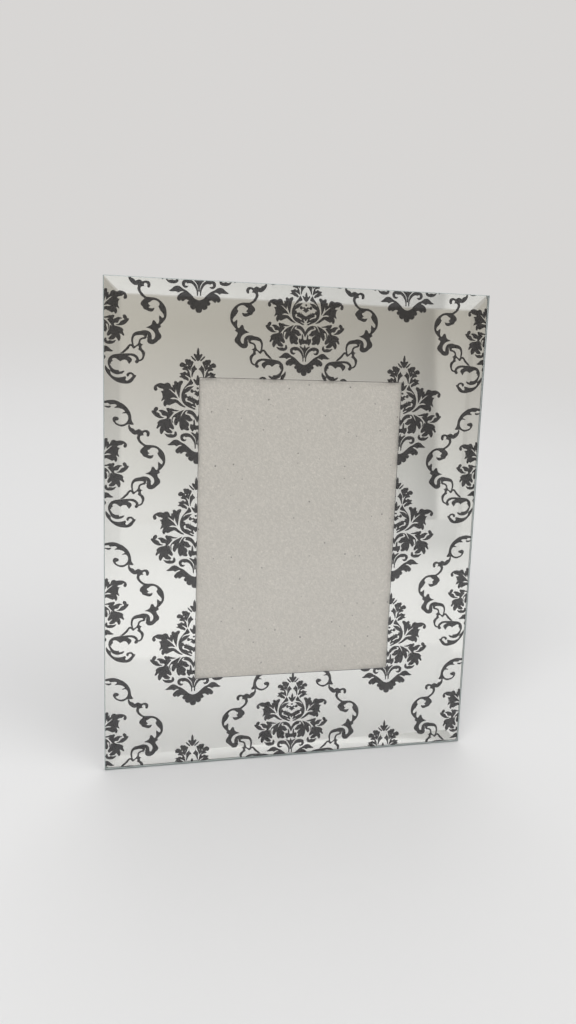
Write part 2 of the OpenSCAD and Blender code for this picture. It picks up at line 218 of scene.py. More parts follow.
MEDALLION_AXIS = 41.5
MEDALLION_TIP = 87.2
MEDALLION = {
    "flame": [
        [(41.5, 86.8), (41.25, 87.3), (41.05, 88.1), (40.97, 89.0), (41.0, 89.45)],
        [(40.7, 89.95), (40.3, 89.65), (39.9, 89.5), (39.6, 89.7), (39.7, 90.2), (40.0, 90.75),
         (40.4, 91.4), (40.75, 92.0), (41.1, 92.4)],
        [(41.5, 92.55)]],
    "barb": [
        [(38.35, 90.4), (38.95, 90.7), (39.4, 91.15), (39.85, 91.55), (40.35, 92.0), (40.5, 92.4),
         (40.3, 92.62), (39.9, 92.4), (39.25, 91.8), (38.7, 91.15)]],
    "sprigs": [
        [(38.3, 100.05), (38.25, 99.4), (38.0, 98.5), (37.85, 97.7), (37.5, 97.0), (37.15, 96.4)],
        [(36.75, 95.85), (37.1, 96.0), (37.5, 96.3), (37.9, 96.6)],
        [(38.2, 96.95), (38.3, 96.2), (38.5, 95.6), (38.75, 95.1), (38.95, 94.6), (39.2, 94.0),
         (39.4, 93.5), (39.45, 93.0), (39.1, 92.72), (38.6, 92.65), (38.25, 92.25), (37.8, 92.0),
         (37.2, 92.07), (36.7, 91.93), (36.2, 91.95), (35.85, 92.2), (35.8, 92.75), (36.1, 93.4)],
        [(36.25, 94.2), (35.7, 93.9), (35.1, 93.55), (34.5, 93.4), (33.9, 93.7), (33.45, 94.3),
         (33.45, 94.8), (33.8, 95.2), (34.4, 95.33), (35.0, 95.3)],
        [(35.45, 95.6), (34.95, 95.8), (34.65, 96.2), (34.9, 96.5), (35.5, 96.6), (36.2, 96.75),
         (36.75, 97.0), (37.0, 97.45)],
        [(36.8, 97.9), (36.35, 97.85), (36.0, 97.5), (35.6, 97.35), (35.25, 97.55), (34.8, 97.85),
         (34.2, 97.97)],
        [(33.55, 98.1), (33.85, 98.6)],
        [(34.25, 98.95), (33.85, 99.3)],
        [(33.3, 99.7), (33.9, 99.9), (34.5, 100.0), (34.95, 100.35), (35.4, 100.65), (36.1, 100.8),
         (36.6, 101.0), (37.1, 101.27), (37.42, 101.1), (37.45, 100.6), (37.2, 100.15), (36.6, 99.62),
         (36.1, 99.25)],
        [(35.6, 98.95), (36.2, 98.85), (36.8, 99.1), (37.5, 99.5)]],
    "sprig eye": [
        [(36.38, 94.7), (36.72, 94.33), (37.1, 94.7), (36.75, 95.07)]],
    "small sprig eye": [
        [(37.9, 94.5), (38.1, 94.25), (38.3, 94.5), (38.12, 94.8)]],
    "drop": [
        [(39.95, 94.4), (40.25, 95.1), (40.7, 95.65), (41.07, 96.05), (40.9, 96.35), (40.4, 96.65),
         (39.9, 97.3), (39.5, 98.1), (39.2, 98.9)],
        [(38.95, 99.95), (38.7, 99.0), (38.78, 98.0), (38.72, 97.2), (38.65, 96.4), (38.8, 95.7),
         (39.3, 95.2)]],
    "sprout": [
        [(41.5, 98.7), (41.2, 99.2), (41.0, 100.0), (40.95, 100.7)],
        [(40.75, 101.2), (40.3, 100.75), (39.85, 100.5), (39.6, 100.65), (39.75, 101.15), (40.15, 101.85),
         (40.55, 102.45), (41.0, 102.95)],
        [(41.5, 103.2)]],
    "seed": [
        [(41.5, 104.1), (41.2, 104.2), (41.05, 104.5), (41.2, 104.8)],
        [(41.5, 104.9)]],
    "bud": [
        [(38.35, 100.4), (38.8, 101.05), (39.2, 101.7), (39.45, 102.3), (39.2, 102.75), (38.5, 103.0),
         (37.7, 103.2), (37.0, 103.55), (36.4, 104.0), (35.95, 104.45)],
        [(35.65, 105.15), (36.1, 104.85), (36.6, 104.4), (37.2, 104.05), (37.9, 103.85), (38.7, 103.75)],
        [(39.7, 103.6), (39.2, 104.2), (38.6, 104.75), (38.1, 105.4), (37.5, 105.9), (36.8, 106.3),
         (36.1, 106.7)],
        [(35.7, 107.15), (36.2, 107.2), (36.65, 107.35), (36.75, 107.65)],
        [(36.65, 107.97), (37.15, 108.2), (37.7, 108.15), (38.2, 108.03), (38.55, 108.35), (38.8, 108.75)],
        [(39.1, 108.9)],
        [(38.95, 107.7)],
        [(39.45, 108.85), (39.9, 108.95), (40.4, 109.25), (41.0, 109.6)],
        [(41.5, 109.85)],
        [(41.5, 111.95), (41.2, 111.8), (41.0, 111.4)],
        [(40.65, 110.9), (40.42, 111.3), (40.42, 111.75), (40.65, 112.2), (40.85, 112.6), (40.6, 112.92),
         (40.2, 112.75), (39.6, 112.45), (39.1, 112.25)],
        [(38.75, 112.35), (39.3, 112.8), (39.8, 113.15), (40.4, 113.4)],
        [(40.75, 113.75), (40.1, 113.87), (39.4, 113.6), (38.5, 113.2), (37.7, 112.87), (36.9, 112.5),
         (36.1, 112.0), (35.4, 111.25), (34.75, 110.25), (34.45, 109.1), (34.35, 108.0), (34.45, 106.9),
         (34.8, 105.9), (35.25, 104.9), (35.8, 104.1), (36.4, 103.35), (37.0, 102.6), (37.6, 101.9),
         (38.0, 101.1)]],
    "bud vein": [
        [(36.15, 109.0), (36.6, 108.72), (37.1, 108.92), (37.07, 109.35), (36.97, 109.72), (37.4, 109.98),
         (37.95, 110.13), (38.6, 110.43), (39.2, 110.83), (39.62, 111.25), (39.3, 111.57), (38.6, 111.22),
         (37.9, 110.8), (37.2, 110.62), (36.5, 110.5), (36.15, 110.0), (36.03, 109.5)]],
    "heart drop": [
        [(38.35, 105.8), (38.6, 105.2), (39.05, 104.98), (39.45, 105.3), (39.8, 105.72), (40.15, 105.65),
         (40.5, 105.43), (40.9, 105.7)],
        [(41.5, 106.15)],
        [(41.5, 108.1), (41.1, 107.75), (40.7, 107.4), (40.35, 107.25)],
        [(39.9, 107.1), (40.3, 106.8), (40.6, 106.42), (40.1, 106.12), (39.7, 106.1), (39.4, 106.4),
         (38.95, 106.52), (38.5, 106.25)]],
    "great and tall leaf": [
        [(32.72, 102.3), (33.3, 101.75), (34.0, 101.4), (34.65, 101.4), (34.9, 101.9), (34.7, 102.5),
         (34.3, 103.1), (34.0, 104.0), (33.8, 105.4), (33.6, 106.7), (33.5, 107.9)],
        [(33.45, 108.95), (33.1, 108.35), (32.7, 107.45), (32.35, 106.6), (32.1, 105.7)],
        [(31.85, 104.95), (31.65, 105.7)],
        [(31.45, 106.65), (31.0, 106.3), (30.4, 105.8), (29.8, 105.35), (29.2, 105.05)],
        [(28.6, 104.95), (29.05, 105.35), (29.8, 105.95), (30.5, 106.6), (31.3, 107.3), (32.05, 108.15)],
        [(32.75, 109.1), (32.2, 109.0), (31.7, 108.85), (30.85, 108.7), (29.95, 108.95)],
        [(29.3, 109.35), (30.4, 109.55), (31.3, 109.55), (32.2, 109.7), (32.95, 110.1), (33.55, 110.7),
         (34.3, 111.35), (35.05, 112.0), (35.8, 112.5)],
        [(36.4, 112.95), (35.7, 112.95), (34.9, 112.75), (34.0, 112.3), (33.1, 111.75), (32.35, 111.2),
         (31.7, 110.95), (31.0, 111.3), (30.2, 111.6), (29.5, 111.97), (28.8, 112.2), (28.1, 111.9),
         (27.7, 112.1), (27.55, 112.5), (27.15, 112.72), (26.75, 112.4), (26.53, 111.8), (26.55, 111.0),
         (26.8, 110.3)],
        [(27.2, 109.6), (26.5, 109.8), (26.0, 110.15)],
        [(25.55, 110.4), (25.75, 109.6), (26.05, 109.0), (26.15, 108.4), (26.0, 107.7), (25.95, 107.1),
         (25.65, 106.6)],
        [(25.3, 106.15), (26.0, 106.0), (26.5, 105.75), (26.5, 105.45), (26.1, 105.1), (25.5, 104.85),
         (24.75, 104.75), (24.25, 104.4)],
        [(23.75, 104.05), (23.4, 104.2), (23.6, 104.7), (23.75, 105.2), (23.55, 105.7), (23.1, 105.97),
         (22.6, 105.8), (22.25, 105.2), (22.2, 104.5), (22.55, 103.85), (23.15, 103.35), (23.9, 102.95),
         (24.8, 102.7), (25.6, 102.65), (26.3, 102.8), (26.9, 102.85), (27.5, 102.55), (28.1, 102.35),
         (28.7, 102.45), (29.3, 102.9), (29.6, 103.55)],
        [(30.1, 104.5), (30.5, 104.1), (30.5, 103.75)],
        [(30.35, 103.25), (31.0, 103.3), (31.2, 102.9), (31.05, 102.35), (31.2, 101.8), (31.75, 101.55),
         (32.3, 101.85)]],
    "side hook": [
        [(27.0, 117.65), (26.3, 117.85), (25.2, 117.9), (24.2, 117.72), (23.1, 117.15), (22.3, 116.45),
         (21.6, 115.6), (21.3, 115.0), (21.55, 114.62)],
        [(22.2, 114.7), (22.25, 114.1), (22.6, 113.5), (23.1, 113.1), (23.65, 113.05), (24.05, 113.45),
         (24.07, 113.95), (23.8, 114.5), (23.45, 114.9)],
        [(23.3, 115.35), (23.8, 115.45), (24.3, 115.6), (24.7, 116.0), (25.0, 116.55), (25.4, 117.0),
         (26.0, 117.4)]],
    "double leaf and outer acanthus": [
        [(24.4, 114.65), (25.1, 114.33), (25.9, 114.3), (26.9, 114.6), (27.75, 115.05)],
        [(28.5, 115.5), (28.3, 114.9), (27.95, 114.2), (27.8, 113.7), (28.15, 113.38), (28.7, 113.4),
         (29.3, 113.65), (29.85, 113.53), (30.55, 113.78), (31.4, 114.1), (32.3, 114.3)],
        [(33.45, 114.5), (32.6, 114.7), (31.7, 114.77), (30.85, 114.77)],
        [(30.0, 115.05), (30.5, 115.18)],
        [(31.05, 115.35), (30.55, 116.05), (30.0, 116.7), (29.45, 117.35), (29.0, 117.95)],
        [(28.65, 118.55), (28.95, 118.45), (29.25, 118.1), (29.55, 118.1), (29.8, 118.6), (30.0, 119.2),
         (30.2, 119.9), (30.55, 120.55), (30.9, 121.2), (31.15, 121.8), (31.2, 122.4), (30.9, 122.8),
         (30.4, 122.75), (29.9, 122.4), (29.4, 122.15)],
        [(28.9, 122.15), (29.2, 122.6), (29.7, 123.0), (30.15, 123.5), (30.5, 124.0), (30.3, 124.4),
         (29.6, 124.52), (28.7, 124.45), (28.0, 124.2), (27.5, 123.65)],
        [(27.1, 123.2), (26.6, 123.75), (26.2, 124.4), (25.75, 124.95), (25.3, 124.7), (25.0, 124.0),
         (24.95, 123.0), (25.2, 122.25)],
        [(25.5, 121.45), (25.1, 121.55), (24.65, 121.8), (24.2, 122.3), (23.75, 122.57), (23.5, 122.2),
         (23.75, 121.5), (24.05, 120.85), (24.15, 120.45)],
        [(23.8, 120.05), (24.25, 119.45), (24.8, 118.95), (25.65, 118.6), (26.6, 118.4), (27.6, 118.15),
         (28.0, 117.75), (28.0, 117.2), (27.6, 116.87), (26.9, 116.82), (26.2, 116.7), (25.85, 116.2),
         (25.5, 115.5), (25.1, 115.1)]],
    "low hook": [
        [(27.05, 124.75), (27.65, 124.85), (28.3, 125.1), (29.0, 125.1), (29.9, 124.9), (30.7, 125.2),
         (31.3, 125.05), (31.5, 124.5), (31.55, 124.0), (31.85, 123.75), (32.25, 124.0), (32.45, 124.6),
         (32.5, 125.2), (32.2, 125.8), (31.7, 126.2), (30.85, 126.45), (29.9, 126.5), (28.9, 126.35),
         (28.0, 125.9), (27.45, 125.3)]],
    "middle acanthus and arch": [
        [(35.4, 114.2), (34.5, 114.55), (33.65, 114.95), (32.6, 115.5), (31.75, 116.05), (31.0, 116.7),
         (30.47, 117.4), (30.17, 118.15), (30.2, 118.9), (30.42, 119.6)],
        [(30.95, 120.3), (30.7, 119.6), (30.52, 118.9), (30.57, 118.2), (30.85, 117.6), (31.3, 117.35)],
        [(31.95, 117.5), (31.6, 118.2), (31.35, 118.95), (31.3, 119.8), (31.45, 120.5), (31.9, 121.0),
         (32.35, 120.85), (32.65, 120.25), (33.0, 119.7)],
        [(33.45, 119.1), (33.6, 119.8), (33.6, 120.6), (33.7, 121.35), (33.95, 122.1), (34.3, 122.8),
         (34.75, 123.17), (35.15, 123.0), (35.5, 122.65), (36.1, 122.95), (36.8, 123.17), (37.5, 123.17),
         (37.95, 122.8), (37.85, 122.35)],
        [(37.42, 121.8), (37.65, 121.3), (37.92, 120.75), (37.8, 120.15), (37.45, 119.65), (36.9, 119.15)],
        [(36.1, 118.4), (36.7, 118.55), (37.3, 118.9), (37.9, 119.17), (38.75, 119.02), (39.37, 118.75),
         (39.37, 118.35), (38.85, 117.9), (38.45, 117.4), (38.3, 116.95), (37.9, 116.6), (37.3, 116.4),
         (36.65, 116.25), (36.15, 115.95), (36.0, 115.6), (36.15, 115.15), (36.5, 114.8)],
        [(37.15, 114.6), (37.2, 114.9), (37.05, 115.25)],
        [(36.85, 115.55), (37.8, 115.77), (38.5, 115.97), (39.3, 116.42), (39.9, 117.0), (40.5, 117.8),
         (41.0, 118.6)],
        [(41.5, 119.8)],
        [(41.5, 117.2), (41.2, 116.8), (40.9, 116.2), (40.4, 115.5), (39.8, 114.93), (39.05, 114.48),
         (38.3, 114.23), (37.65, 114.23), (37.0, 114.3), (36.5, 114.28), (36.1, 114.5), (35.7, 114.9),
         (35.3, 115.4), (34.9, 116.05), (34.5, 116.8)],
        [(34.15, 117.3), (34.05, 116.9), (34.3, 116.25), (34.65, 115.5), (35.05, 114.85)]],
    "small fleur": [
        [(40.15, 118.25), (39.85, 118.8), (39.85, 119.6), (39.8, 120.3), (39.5, 120.7), (39.15, 120.65),
         (38.8, 120.43), (38.47, 120.7), (38.45, 121.3), (38.4, 121.9), (38.7, 122.55), (39.1, 123.25),
         (39.5, 123.62), (39.8, 123.35), (40.05, 122.95), (40.4, 122.85), (40.8, 123.0)],
        [(41.5, 122.6)],
        [(41.5, 120.95), (41.0, 121.05), (40.7, 120.8), (40.6, 120.0), (40.5, 119.15)]],
    "fleur curl": [
        [(40.62, 131.25), (40.58, 130.0), (40.4, 129.0), (40.0, 128.15), (39.55, 127.4), (39.1, 126.85),
         (38.5, 126.35), (37.9, 126.1), (37.2, 126.05), (36.5, 126.2)],
        [(36.0, 125.8), (35.6, 125.95), (35.3, 126.4), (35.4, 126.95), (35.8, 127.3), (36.3, 127.3)],
        [(36.8, 127.35), (36.35, 127.9), (35.7, 128.1), (35.05, 127.95), (34.4, 127.4), (34.08, 126.5),
         (34.18, 125.7), (34.5, 125.2), (35.1, 124.8), (35.9, 124.55), (36.8, 124.48), (37.8, 124.63),
         (38.75, 125.08), (39.5, 125.7), (40.1, 126.4), (40.5, 127.15), (40.8, 128.0), (41.0, 129.0),
         (41.03, 130.0)],
        [(41.0, 131.25)]],
    "fleur bud": [
        [(41.5, 123.3), (41.25, 124.2)],
        [(40.85, 124.85), (40.4, 124.7), (40.0, 124.45), (39.4, 124.15)],
        [(38.8, 124.2), (39.3, 124.75), (39.85, 125.35), (40.4, 126.0), (40.8, 126.7), (41.08, 127.5),
         (41.2, 128.4)],
        [(41.25, 129.45)],
        [(41.5, 129.45)]],
    "garland": [
        [(28.4, 129.6), (29.5, 129.0), (30.25, 128.3), (31.0, 127.7), (32.05, 127.43), (33.1, 127.65),
         (34.0, 128.25), (34.6, 128.7), (35.5, 129.1), (36.4, 129.6), (37.3, 130.35), (38.2, 131.15),
         (39.1, 131.95), (40.05, 132.6)],
        [(41.5, 133.05)],
        [(41.5, 138.25), (41.05, 138.22), (40.62, 138.05), (40.28, 137.7), (40.1, 137.2)],
        [(40.15, 136.1), (39.6, 136.85), (39.0, 136.95), (38.4, 136.7), (37.95, 136.28), (37.7, 135.7)],
        [(38.1, 134.6), (37.5, 135.08), (36.95, 134.95), (36.55, 134.5), (36.5, 133.95)],
        [(37.25, 133.2), (36.6, 132.92), (36.1, 132.78), (35.6, 132.85), (35.1, 133.22), (34.6, 133.57),
         (34.1, 133.55)],
        [(33.75, 132.75), (33.2, 133.5), (32.7, 133.42), (32.2, 133.05), (32.0, 132.3), (32.4, 131.6),
         (33.0, 131.0), (33.7, 130.45), (34.4, 130.2)],
        [(34.95, 129.9), (34.45, 129.65), (33.7, 129.7), (33.0, 130.0), (32.4, 130.28), (32.0, 130.1),
         (31.6, 129.8), (31.0, 129.85), (30.0, 129.9), (29.0, 129.87)]],
}

SCROLL_AXIS = -7.5
SCROLL_TIP = 119.5
SCROLL = {
    "head and curl": [
        [(0.3, 116.75), (1.0, 116.65), (2.0, 116.45), (3.4, 116.25), (4.7, 116.3), (6.0, 116.6),
         (7.3, 117.2), (8.7, 118.15), (9.9, 119.2), (10.9, 120.5), (11.5, 121.7), (11.85, 122.9),
         (12.0, 124.2), (12.15, 125.1)],
        [(13.05, 126.6), (12.5, 126.85), (11.7, 126.75), (11.0, 126.65), (10.15, 126.8), (9.2, 127.35),
         (8.0, 127.65), (6.9, 127.4), (5.7, 126.8), (4.8, 125.95), (4.22, 124.85), (4.4, 123.95),
         (5.1, 123.45), (6.0, 123.57), (6.65, 123.95), (6.8, 124.4), (6.4, 124.9), (5.8, 125.08)],
        [(5.4, 125.2), (5.5, 125.8), (6.2, 126.4), (7.1, 126.8), (8.1, 126.85), (9.2, 126.5),
         (10.1, 125.75), (10.65, 124.65), (10.7, 123.5), (10.35, 122.5), (9.75, 121.95), (9.2, 121.85)],
        [(7.9, 122.0), (8.6, 121.5), (9.2, 121.25), (9.15, 120.8), (8.5, 120.3), (7.6, 119.8),
         (6.65, 119.55)],
        [(5.0, 119.65), (5.4, 119.15), (6.1, 118.65), (5.5, 118.08), (4.6, 118.0)],
        [(2.95, 118.2), (2.65, 117.85), (2.3, 117.5), (1.4, 117.6)],
        [(0.3, 117.6)]],
    "head barb": [
        [(0.3, 118.8), (1.5, 118.85), (2.4, 118.9), (3.1, 118.75), (3.35, 119.1), (2.8, 119.5),
         (2.0, 119.6), (1.2, 119.3)]],
    "upper stem": [
        [(11.3, 126.87), (11.35, 127.4), (11.7, 128.05), (12.4, 128.4), (13.1, 128.7)],
        [(13.65, 129.5), (14.2, 129.2), (14.9, 128.9), (15.6, 128.88), (16.2, 129.25), (16.75, 129.5),
         (17.4, 129.3), (18.35, 129.12), (19.35, 129.45), (19.95, 130.25), (19.9, 131.3), (19.35, 131.97),
         (18.75, 131.65), (18.8, 130.85), (18.4, 130.15), (17.7, 130.05), (17.1, 130.6)],
        [(17.4, 131.45), (16.6, 131.5), (16.0, 131.75), (15.72, 132.4), (15.8, 133.3), (16.4, 134.25),
         (17.3, 135.05)],
        [(18.17, 135.62)],
        [(17.55, 136.22), (16.8, 135.75), (16.0, 135.1), (15.2, 134.25), (14.75, 133.4), (14.5, 132.5),
         (14.7, 131.7)],
        [(14.72, 130.95), (14.2, 131.12), (13.2, 131.1), (12.2, 130.45), (11.3, 129.5), (10.85, 128.6),
         (10.68, 127.8)],
        [(10.77, 126.87)]],
    "crook and arch": [
        [(18.3, 135.7), (20.0, 135.8), (21.8, 135.9), (23.3, 136.4), (24.6, 137.3), (25.8, 138.6),
         (26.6, 140.0), (26.9, 141.5), (26.9, 143.2), (26.5, 144.6), (25.8, 145.6), (24.9, 146.6)],
        [(24.1, 147.3), (24.6, 147.9), (24.1, 148.4)],
        [(23.3, 148.9), (23.6, 149.6), (23.75, 150.15), (24.2, 150.75), (24.65, 151.5), (24.77, 152.3),
         (24.45, 153.1), (23.6, 153.75), (22.6, 154.7), (21.4, 155.4), (20.0, 155.45), (19.1, 154.9),
         (18.75, 154.1), (18.9, 153.3)],
        [(18.75, 152.8), (19.0, 152.2)],
        [(18.9, 151.3), (18.6, 152.0), (18.4, 152.8), (18.0, 153.3), (17.2, 153.45), (16.3, 153.8),
         (15.75, 154.6), (16.0, 155.5)],
        [(17.0, 155.95), (16.4, 156.2), (16.2, 156.9), (16.5, 157.8), (17.1, 158.3), (17.7, 159.1),
         (17.75, 160.1), (17.4, 161.3), (16.9, 162.3), (15.9, 162.9)],
        [(15.4, 163.0), (15.4, 162.5), (16.0, 162.2), (16.5, 161.7), (16.75, 160.8), (16.6, 159.7),
         (16.1, 158.8), (15.5, 158.3)],
        [(14.9, 157.9), (15.2, 157.2), (15.1, 156.6), (14.6, 156.5), (14.0, 156.9), (13.4, 157.5),
         (12.9, 157.7), (12.4, 157.2), (11.9, 156.6), (11.3, 156.8), (10.7, 157.85), (9.5, 158.95),
         (8.5, 159.7)],
        [(7.6, 159.75), (8.25, 159.0), (9.55, 157.8), (10.45, 156.7), (11.3, 155.9)],
        [(12.3, 155.85), (12.0, 154.8), (12.0, 153.3), (12.4, 152.0), (13.2, 151.0), (14.5, 150.4),
         (15.8, 150.2), (17.0, 149.85), (18.2, 149.85), (19.4, 150.2), (20.3, 151.1), (20.6, 152.3)],
        [(20.6, 153.5), (21.2, 153.6), (22.0, 152.7), (22.2, 151.5), (21.6, 150.2), (20.6, 149.3),
         (19.4, 148.8)],
        [(18.2, 148.55), (19.3, 148.1), (20.3, 147.5), (20.8, 146.7), (21.0, 145.8), (21.5, 145.4),
         (22.2, 145.9), (22.6, 146.6), (23.2, 146.9), (23.7, 146.3), (23.9, 145.2), (23.8, 144.2)],
        [(23.9, 143.3), (24.5, 143.7), (25.2, 144.3), (25.7, 144.1), (25.9, 143.4), (25.6, 142.5),
         (24.6, 141.4), (23.9, 140.3)],
        [(23.5, 139.4), (24.0, 138.6), (23.7, 137.8), (22.8, 137.1), (21.7, 136.8), (20.5, 137.1),
         (19.9, 137.7), (19.1, 138.0), (19.2, 138.7)],
        [(19.9, 139.4), (19.5, 139.7)],
        [(19.1, 140.1), (20.0, 140.4), (20.9, 140.4)],
        [(21.7, 140.2), (21.4, 141.1), (20.6, 141.7), (19.4, 141.6), (18.3, 141.1), (17.2, 140.7),
         (16.8, 139.8), (16.0, 139.1), (16.0, 138.2), (16.7, 137.2), (17.6, 136.4)]],
    "arch opening": [
        [(12.8, 155.8), (12.65, 154.5), (12.8, 153.2), (13.4, 152.3), (14.6, 151.95), (16.0, 151.8),
         (17.1, 151.9), (17.6, 152.4), (17.1, 152.8), (16.1, 153.1), (15.3, 153.9), (15.0, 155.0),
         (14.6, 155.8), (13.8, 156.4), (13.2, 156.7)]],
    "lower loop": [
        [(7.75, 160.0), (6.5, 160.2), (5.2, 160.4), (3.9, 160.85), (2.85, 161.75), (2.3, 162.8),
         (2.15, 164.1), (2.5, 165.4), (2.95, 166.4), (3.42, 167.5), (4.0, 168.1), (4.95, 168.6),
         (6.25, 168.87), (7.3, 168.7), (8.3, 168.3)],
        [(9.0, 167.4), (8.3, 167.4), (7.55, 167.75), (7.0, 167.75)],
        [(6.75, 167.1), (5.5, 167.05), (4.4, 166.6), (3.65, 165.75), (3.1, 164.8), (3.0, 164.35)],
        [(3.7, 164.5), (3.4, 163.95)],
        [(4.25, 163.2), (3.95, 162.6), (4.4, 162.0), (5.2, 161.9), (6.2, 162.3)],
        [(7.5, 163.3), (8.0, 162.8), (8.8, 162.5), (9.9, 162.7), (10.4, 163.3)],
        [(11.0, 164.3), (11.6, 163.6), (12.2, 162.7), (12.0, 162.0), (11.2, 161.4)],
        [(10.35, 160.95), (11.4, 160.7), (12.7, 160.95), (13.75, 161.6), (14.15, 162.3), (13.85, 162.75),
         (13.58, 163.25), (13.8, 163.75), (14.35, 163.93), (15.0, 163.5), (15.25, 162.9), (15.1, 161.8),
         (14.45, 160.85), (13.3, 160.1), (11.8, 159.85), (10.4, 159.88), (9.1, 159.93)]],
    "end crescent": [
        [(1.1, 165.2), (1.75, 166.05), (2.4, 166.75), (2.95, 167.15), (3.25, 167.7), (3.2, 168.2),
         (3.5, 169.0), (4.4, 169.75), (5.7, 170.2), (7.3, 170.25), (8.6, 169.9)],
        [(9.5, 169.7), (9.65, 170.4), (9.35, 171.0), (9.75, 171.55), (10.45, 171.5), (11.2, 170.9),
         (12.0, 170.2), (12.5, 169.65), (12.35, 169.0), (11.6, 168.62), (11.05, 168.9), (10.9, 169.4),
         (10.4, 169.72), (9.98, 169.3), (10.05, 168.6), (10.7, 168.1), (11.7, 167.9), (12.7, 168.3),
         (13.25, 168.95)],
        [(14.0, 169.15), (13.8, 169.7), (13.15, 170.6), (12.5, 171.6), (11.5, 172.4), (10.2, 172.75),
         (8.6, 172.72), (7.3, 172.45), (5.7, 171.85), (4.2, 170.9), (2.85, 169.6), (1.8, 168.3),
         (1.15, 167.1), (1.0, 166.0)]],
}

# Tips of the medallions in each column, in millimetres down from the middle of the glass. Column 0 is in the
# middle.

PLAIN_TIPS = {
    -1: (-150.1, -83.2, -25.3, 32.3, 99.0),
    1: (-150.0, -82.9, -25.2, 32.35, 98.9),
}
SCROLLED_TIPS = {
    -2: (-120.75, -56.6, 7.05, 71.3),
    0: (-120.35, -56.55, 7.25, 70.3),
    2: (-120.15, -56.15, 7.1, 71.05),
}


# Small helpers for objects and meshes

def new_object(name, data):
    """An object that holds some data, in the scene."""
    holder = bpy.data.objects.new(name, data)
    bpy.context.scene.collection.objects.link(holder)
    return holder


def new_piece(name, bm, materials, slot, *nodes):
    """Turns a mesh under construction into a piece that rides on the frame and stands for its nodes."""
    mesh = bpy.data.meshes.new(name)
    bmesh.ops.recalc_face_normals(bm, faces=bm.faces[:])
    bm.to_mesh(mesh)
    bm.free()
    for material in materials:
        mesh.materials.append(material)
    piece = new_object(name, mesh)
    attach(piece, FRAME_BODY)
    if nodes:
        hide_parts(*nodes)


def rectangle(bm, half_width, half_height, depth, place=PANEL):
    """Four corners of an upright rectangle round the glass's middle, clockwise from the upper left."""
    return [bm.verts.new(place @ Vector((x * half_width, y * half_height, depth))) for x, y in CORNERS]


def band(bm, ring, other, material=0):
    """Joins two rectangles by four faces."""
    for i in range(4):
        j = (i + 1) % 4
        face = bm.faces.new((ring[i], ring[j], other[j], other[i]))
        face.material_index = material


def dress(material, *names):
    """Gives CAD nodes their finish."""
    for name in names:
        for material_slot in NODES[name].material_slots:
            material_slot.material = material


# Small helpers for node trees

def set_sockets(tree, node, values):
    """Gives a node's sockets their values, or links them to other sockets. A colour is opaque."""
    for key, value in values.items():
        socket = node.inputs[key]
        if isinstance(value, NodeSocket):
            tree.links.new(value, socket)
        elif socket.type == "RGBA":
            socket.default_value = (*value[:3], 1)
        else:
            socket.default_value = value


def add(tree, kind, values=None, **settings):
    """Adds a node with its settings, and with values or links for its sockets."""
    node = tree.nodes.new(kind)
    for key, value in settings.items():
        setattr(node, key, value)
    set_sockets(tree, node, values or {})
    return node


def maths(tree, operation, first, second):
    """The sum, product or other result of two sockets or numbers."""
    return add(tree, "ShaderNodeMath", {0: first, 1: second}, operation=operation).outputs[0]


def blend_colours(tree, factor, first, second):
    """A colour between two, by a socket's value."""
    return add(tree, "ShaderNodeMix", {0: factor, 6: first, 7: second}, data_type="RGBA").outputs[2]


def mix_shaders(tree, factor, first, second):
    """The first shader at 0 and the second at 1."""
    return add(tree, "ShaderNodeMixShader", {0: factor, 1: first, 2: second}).outputs["Shader"]


def parts_of(tree, vector):
    """The X, Y and Z of a vector."""
    return add(tree, "ShaderNodeSeparateXYZ", {"Vector": vector}).outputs


def map_range(tree, value, limits, **settings):
    """Moves a value from one range to another."""
    return add(tree, "ShaderNodeMapRange", {"Value": value, **limits}, **settings).outputs["Result"]


def spread(tree, value, low, high):
    """Stretches a value from 0 and 1 to low and high."""
    return map_range(tree, value, {"To Min": low, "To Max": high})


def between(tree, value, start, end):
    """0 at the start, 1 at the end, and softly from one to the other."""
    return map_range(tree, value, {"From Min": start, "From Max": end}, interpolation_type="SMOOTHSTEP")


def either_ray(tree, *kinds):
    """1 for rays of either kind."""
    rays = add(tree, "ShaderNodeLightPath").outputs
    return maths(tree, "MAXIMUM", *(rays[kind] for kind in kinds))


# Effects that the finishes share

def new_group(name, inputs, output_names):
    """An empty shader group with a Vector input and the named numbers: its tree, its inputs and its end."""
    tree = bpy.data.node_groups.new(name, "ShaderNodeTree")
    tree.interface.new_socket("Vector", in_out="INPUT", socket_type="NodeSocketVector")
    for key, value in inputs.items():
        tree.interface.new_socket(key, in_out="INPUT", socket_type="NodeSocketFloat").default_value = value
    for key in output_names:
        tree.interface.new_socket(key, in_out="OUTPUT", socket_type="NodeSocketFloat")
    return tree, tree.nodes.new("NodeGroupInput").outputs, tree.nodes.new("NodeGroupOutput")


def noise(tree, vector, scale, detail, roughness):
    """The value of a noise texture."""
    values = {"Vector": vector, "Scale": scale, "Detail": detail, "Roughness": roughness}
    return add(tree, "ShaderNodeTexNoise", values).outputs["Fac"]


def full_range(tree, value):
    """Stretches the values that a noise mostly has over 0 to 1."""
    return map_range(tree, value, {"From Min": 0.3, "From Max": 0.7})


def drawn_out(tree, vector, scale, degrees=(0, 0, 0)):
    """A vector that draws a texture out along its turned axes."""
    values = {"Vector": vector, "Scale": scale, "Rotation": [math.radians(angle) for angle in degrees]}
    return add(tree, "ShaderNodeMapping", values, vector_type="TEXTURE").outputs["Vector"]


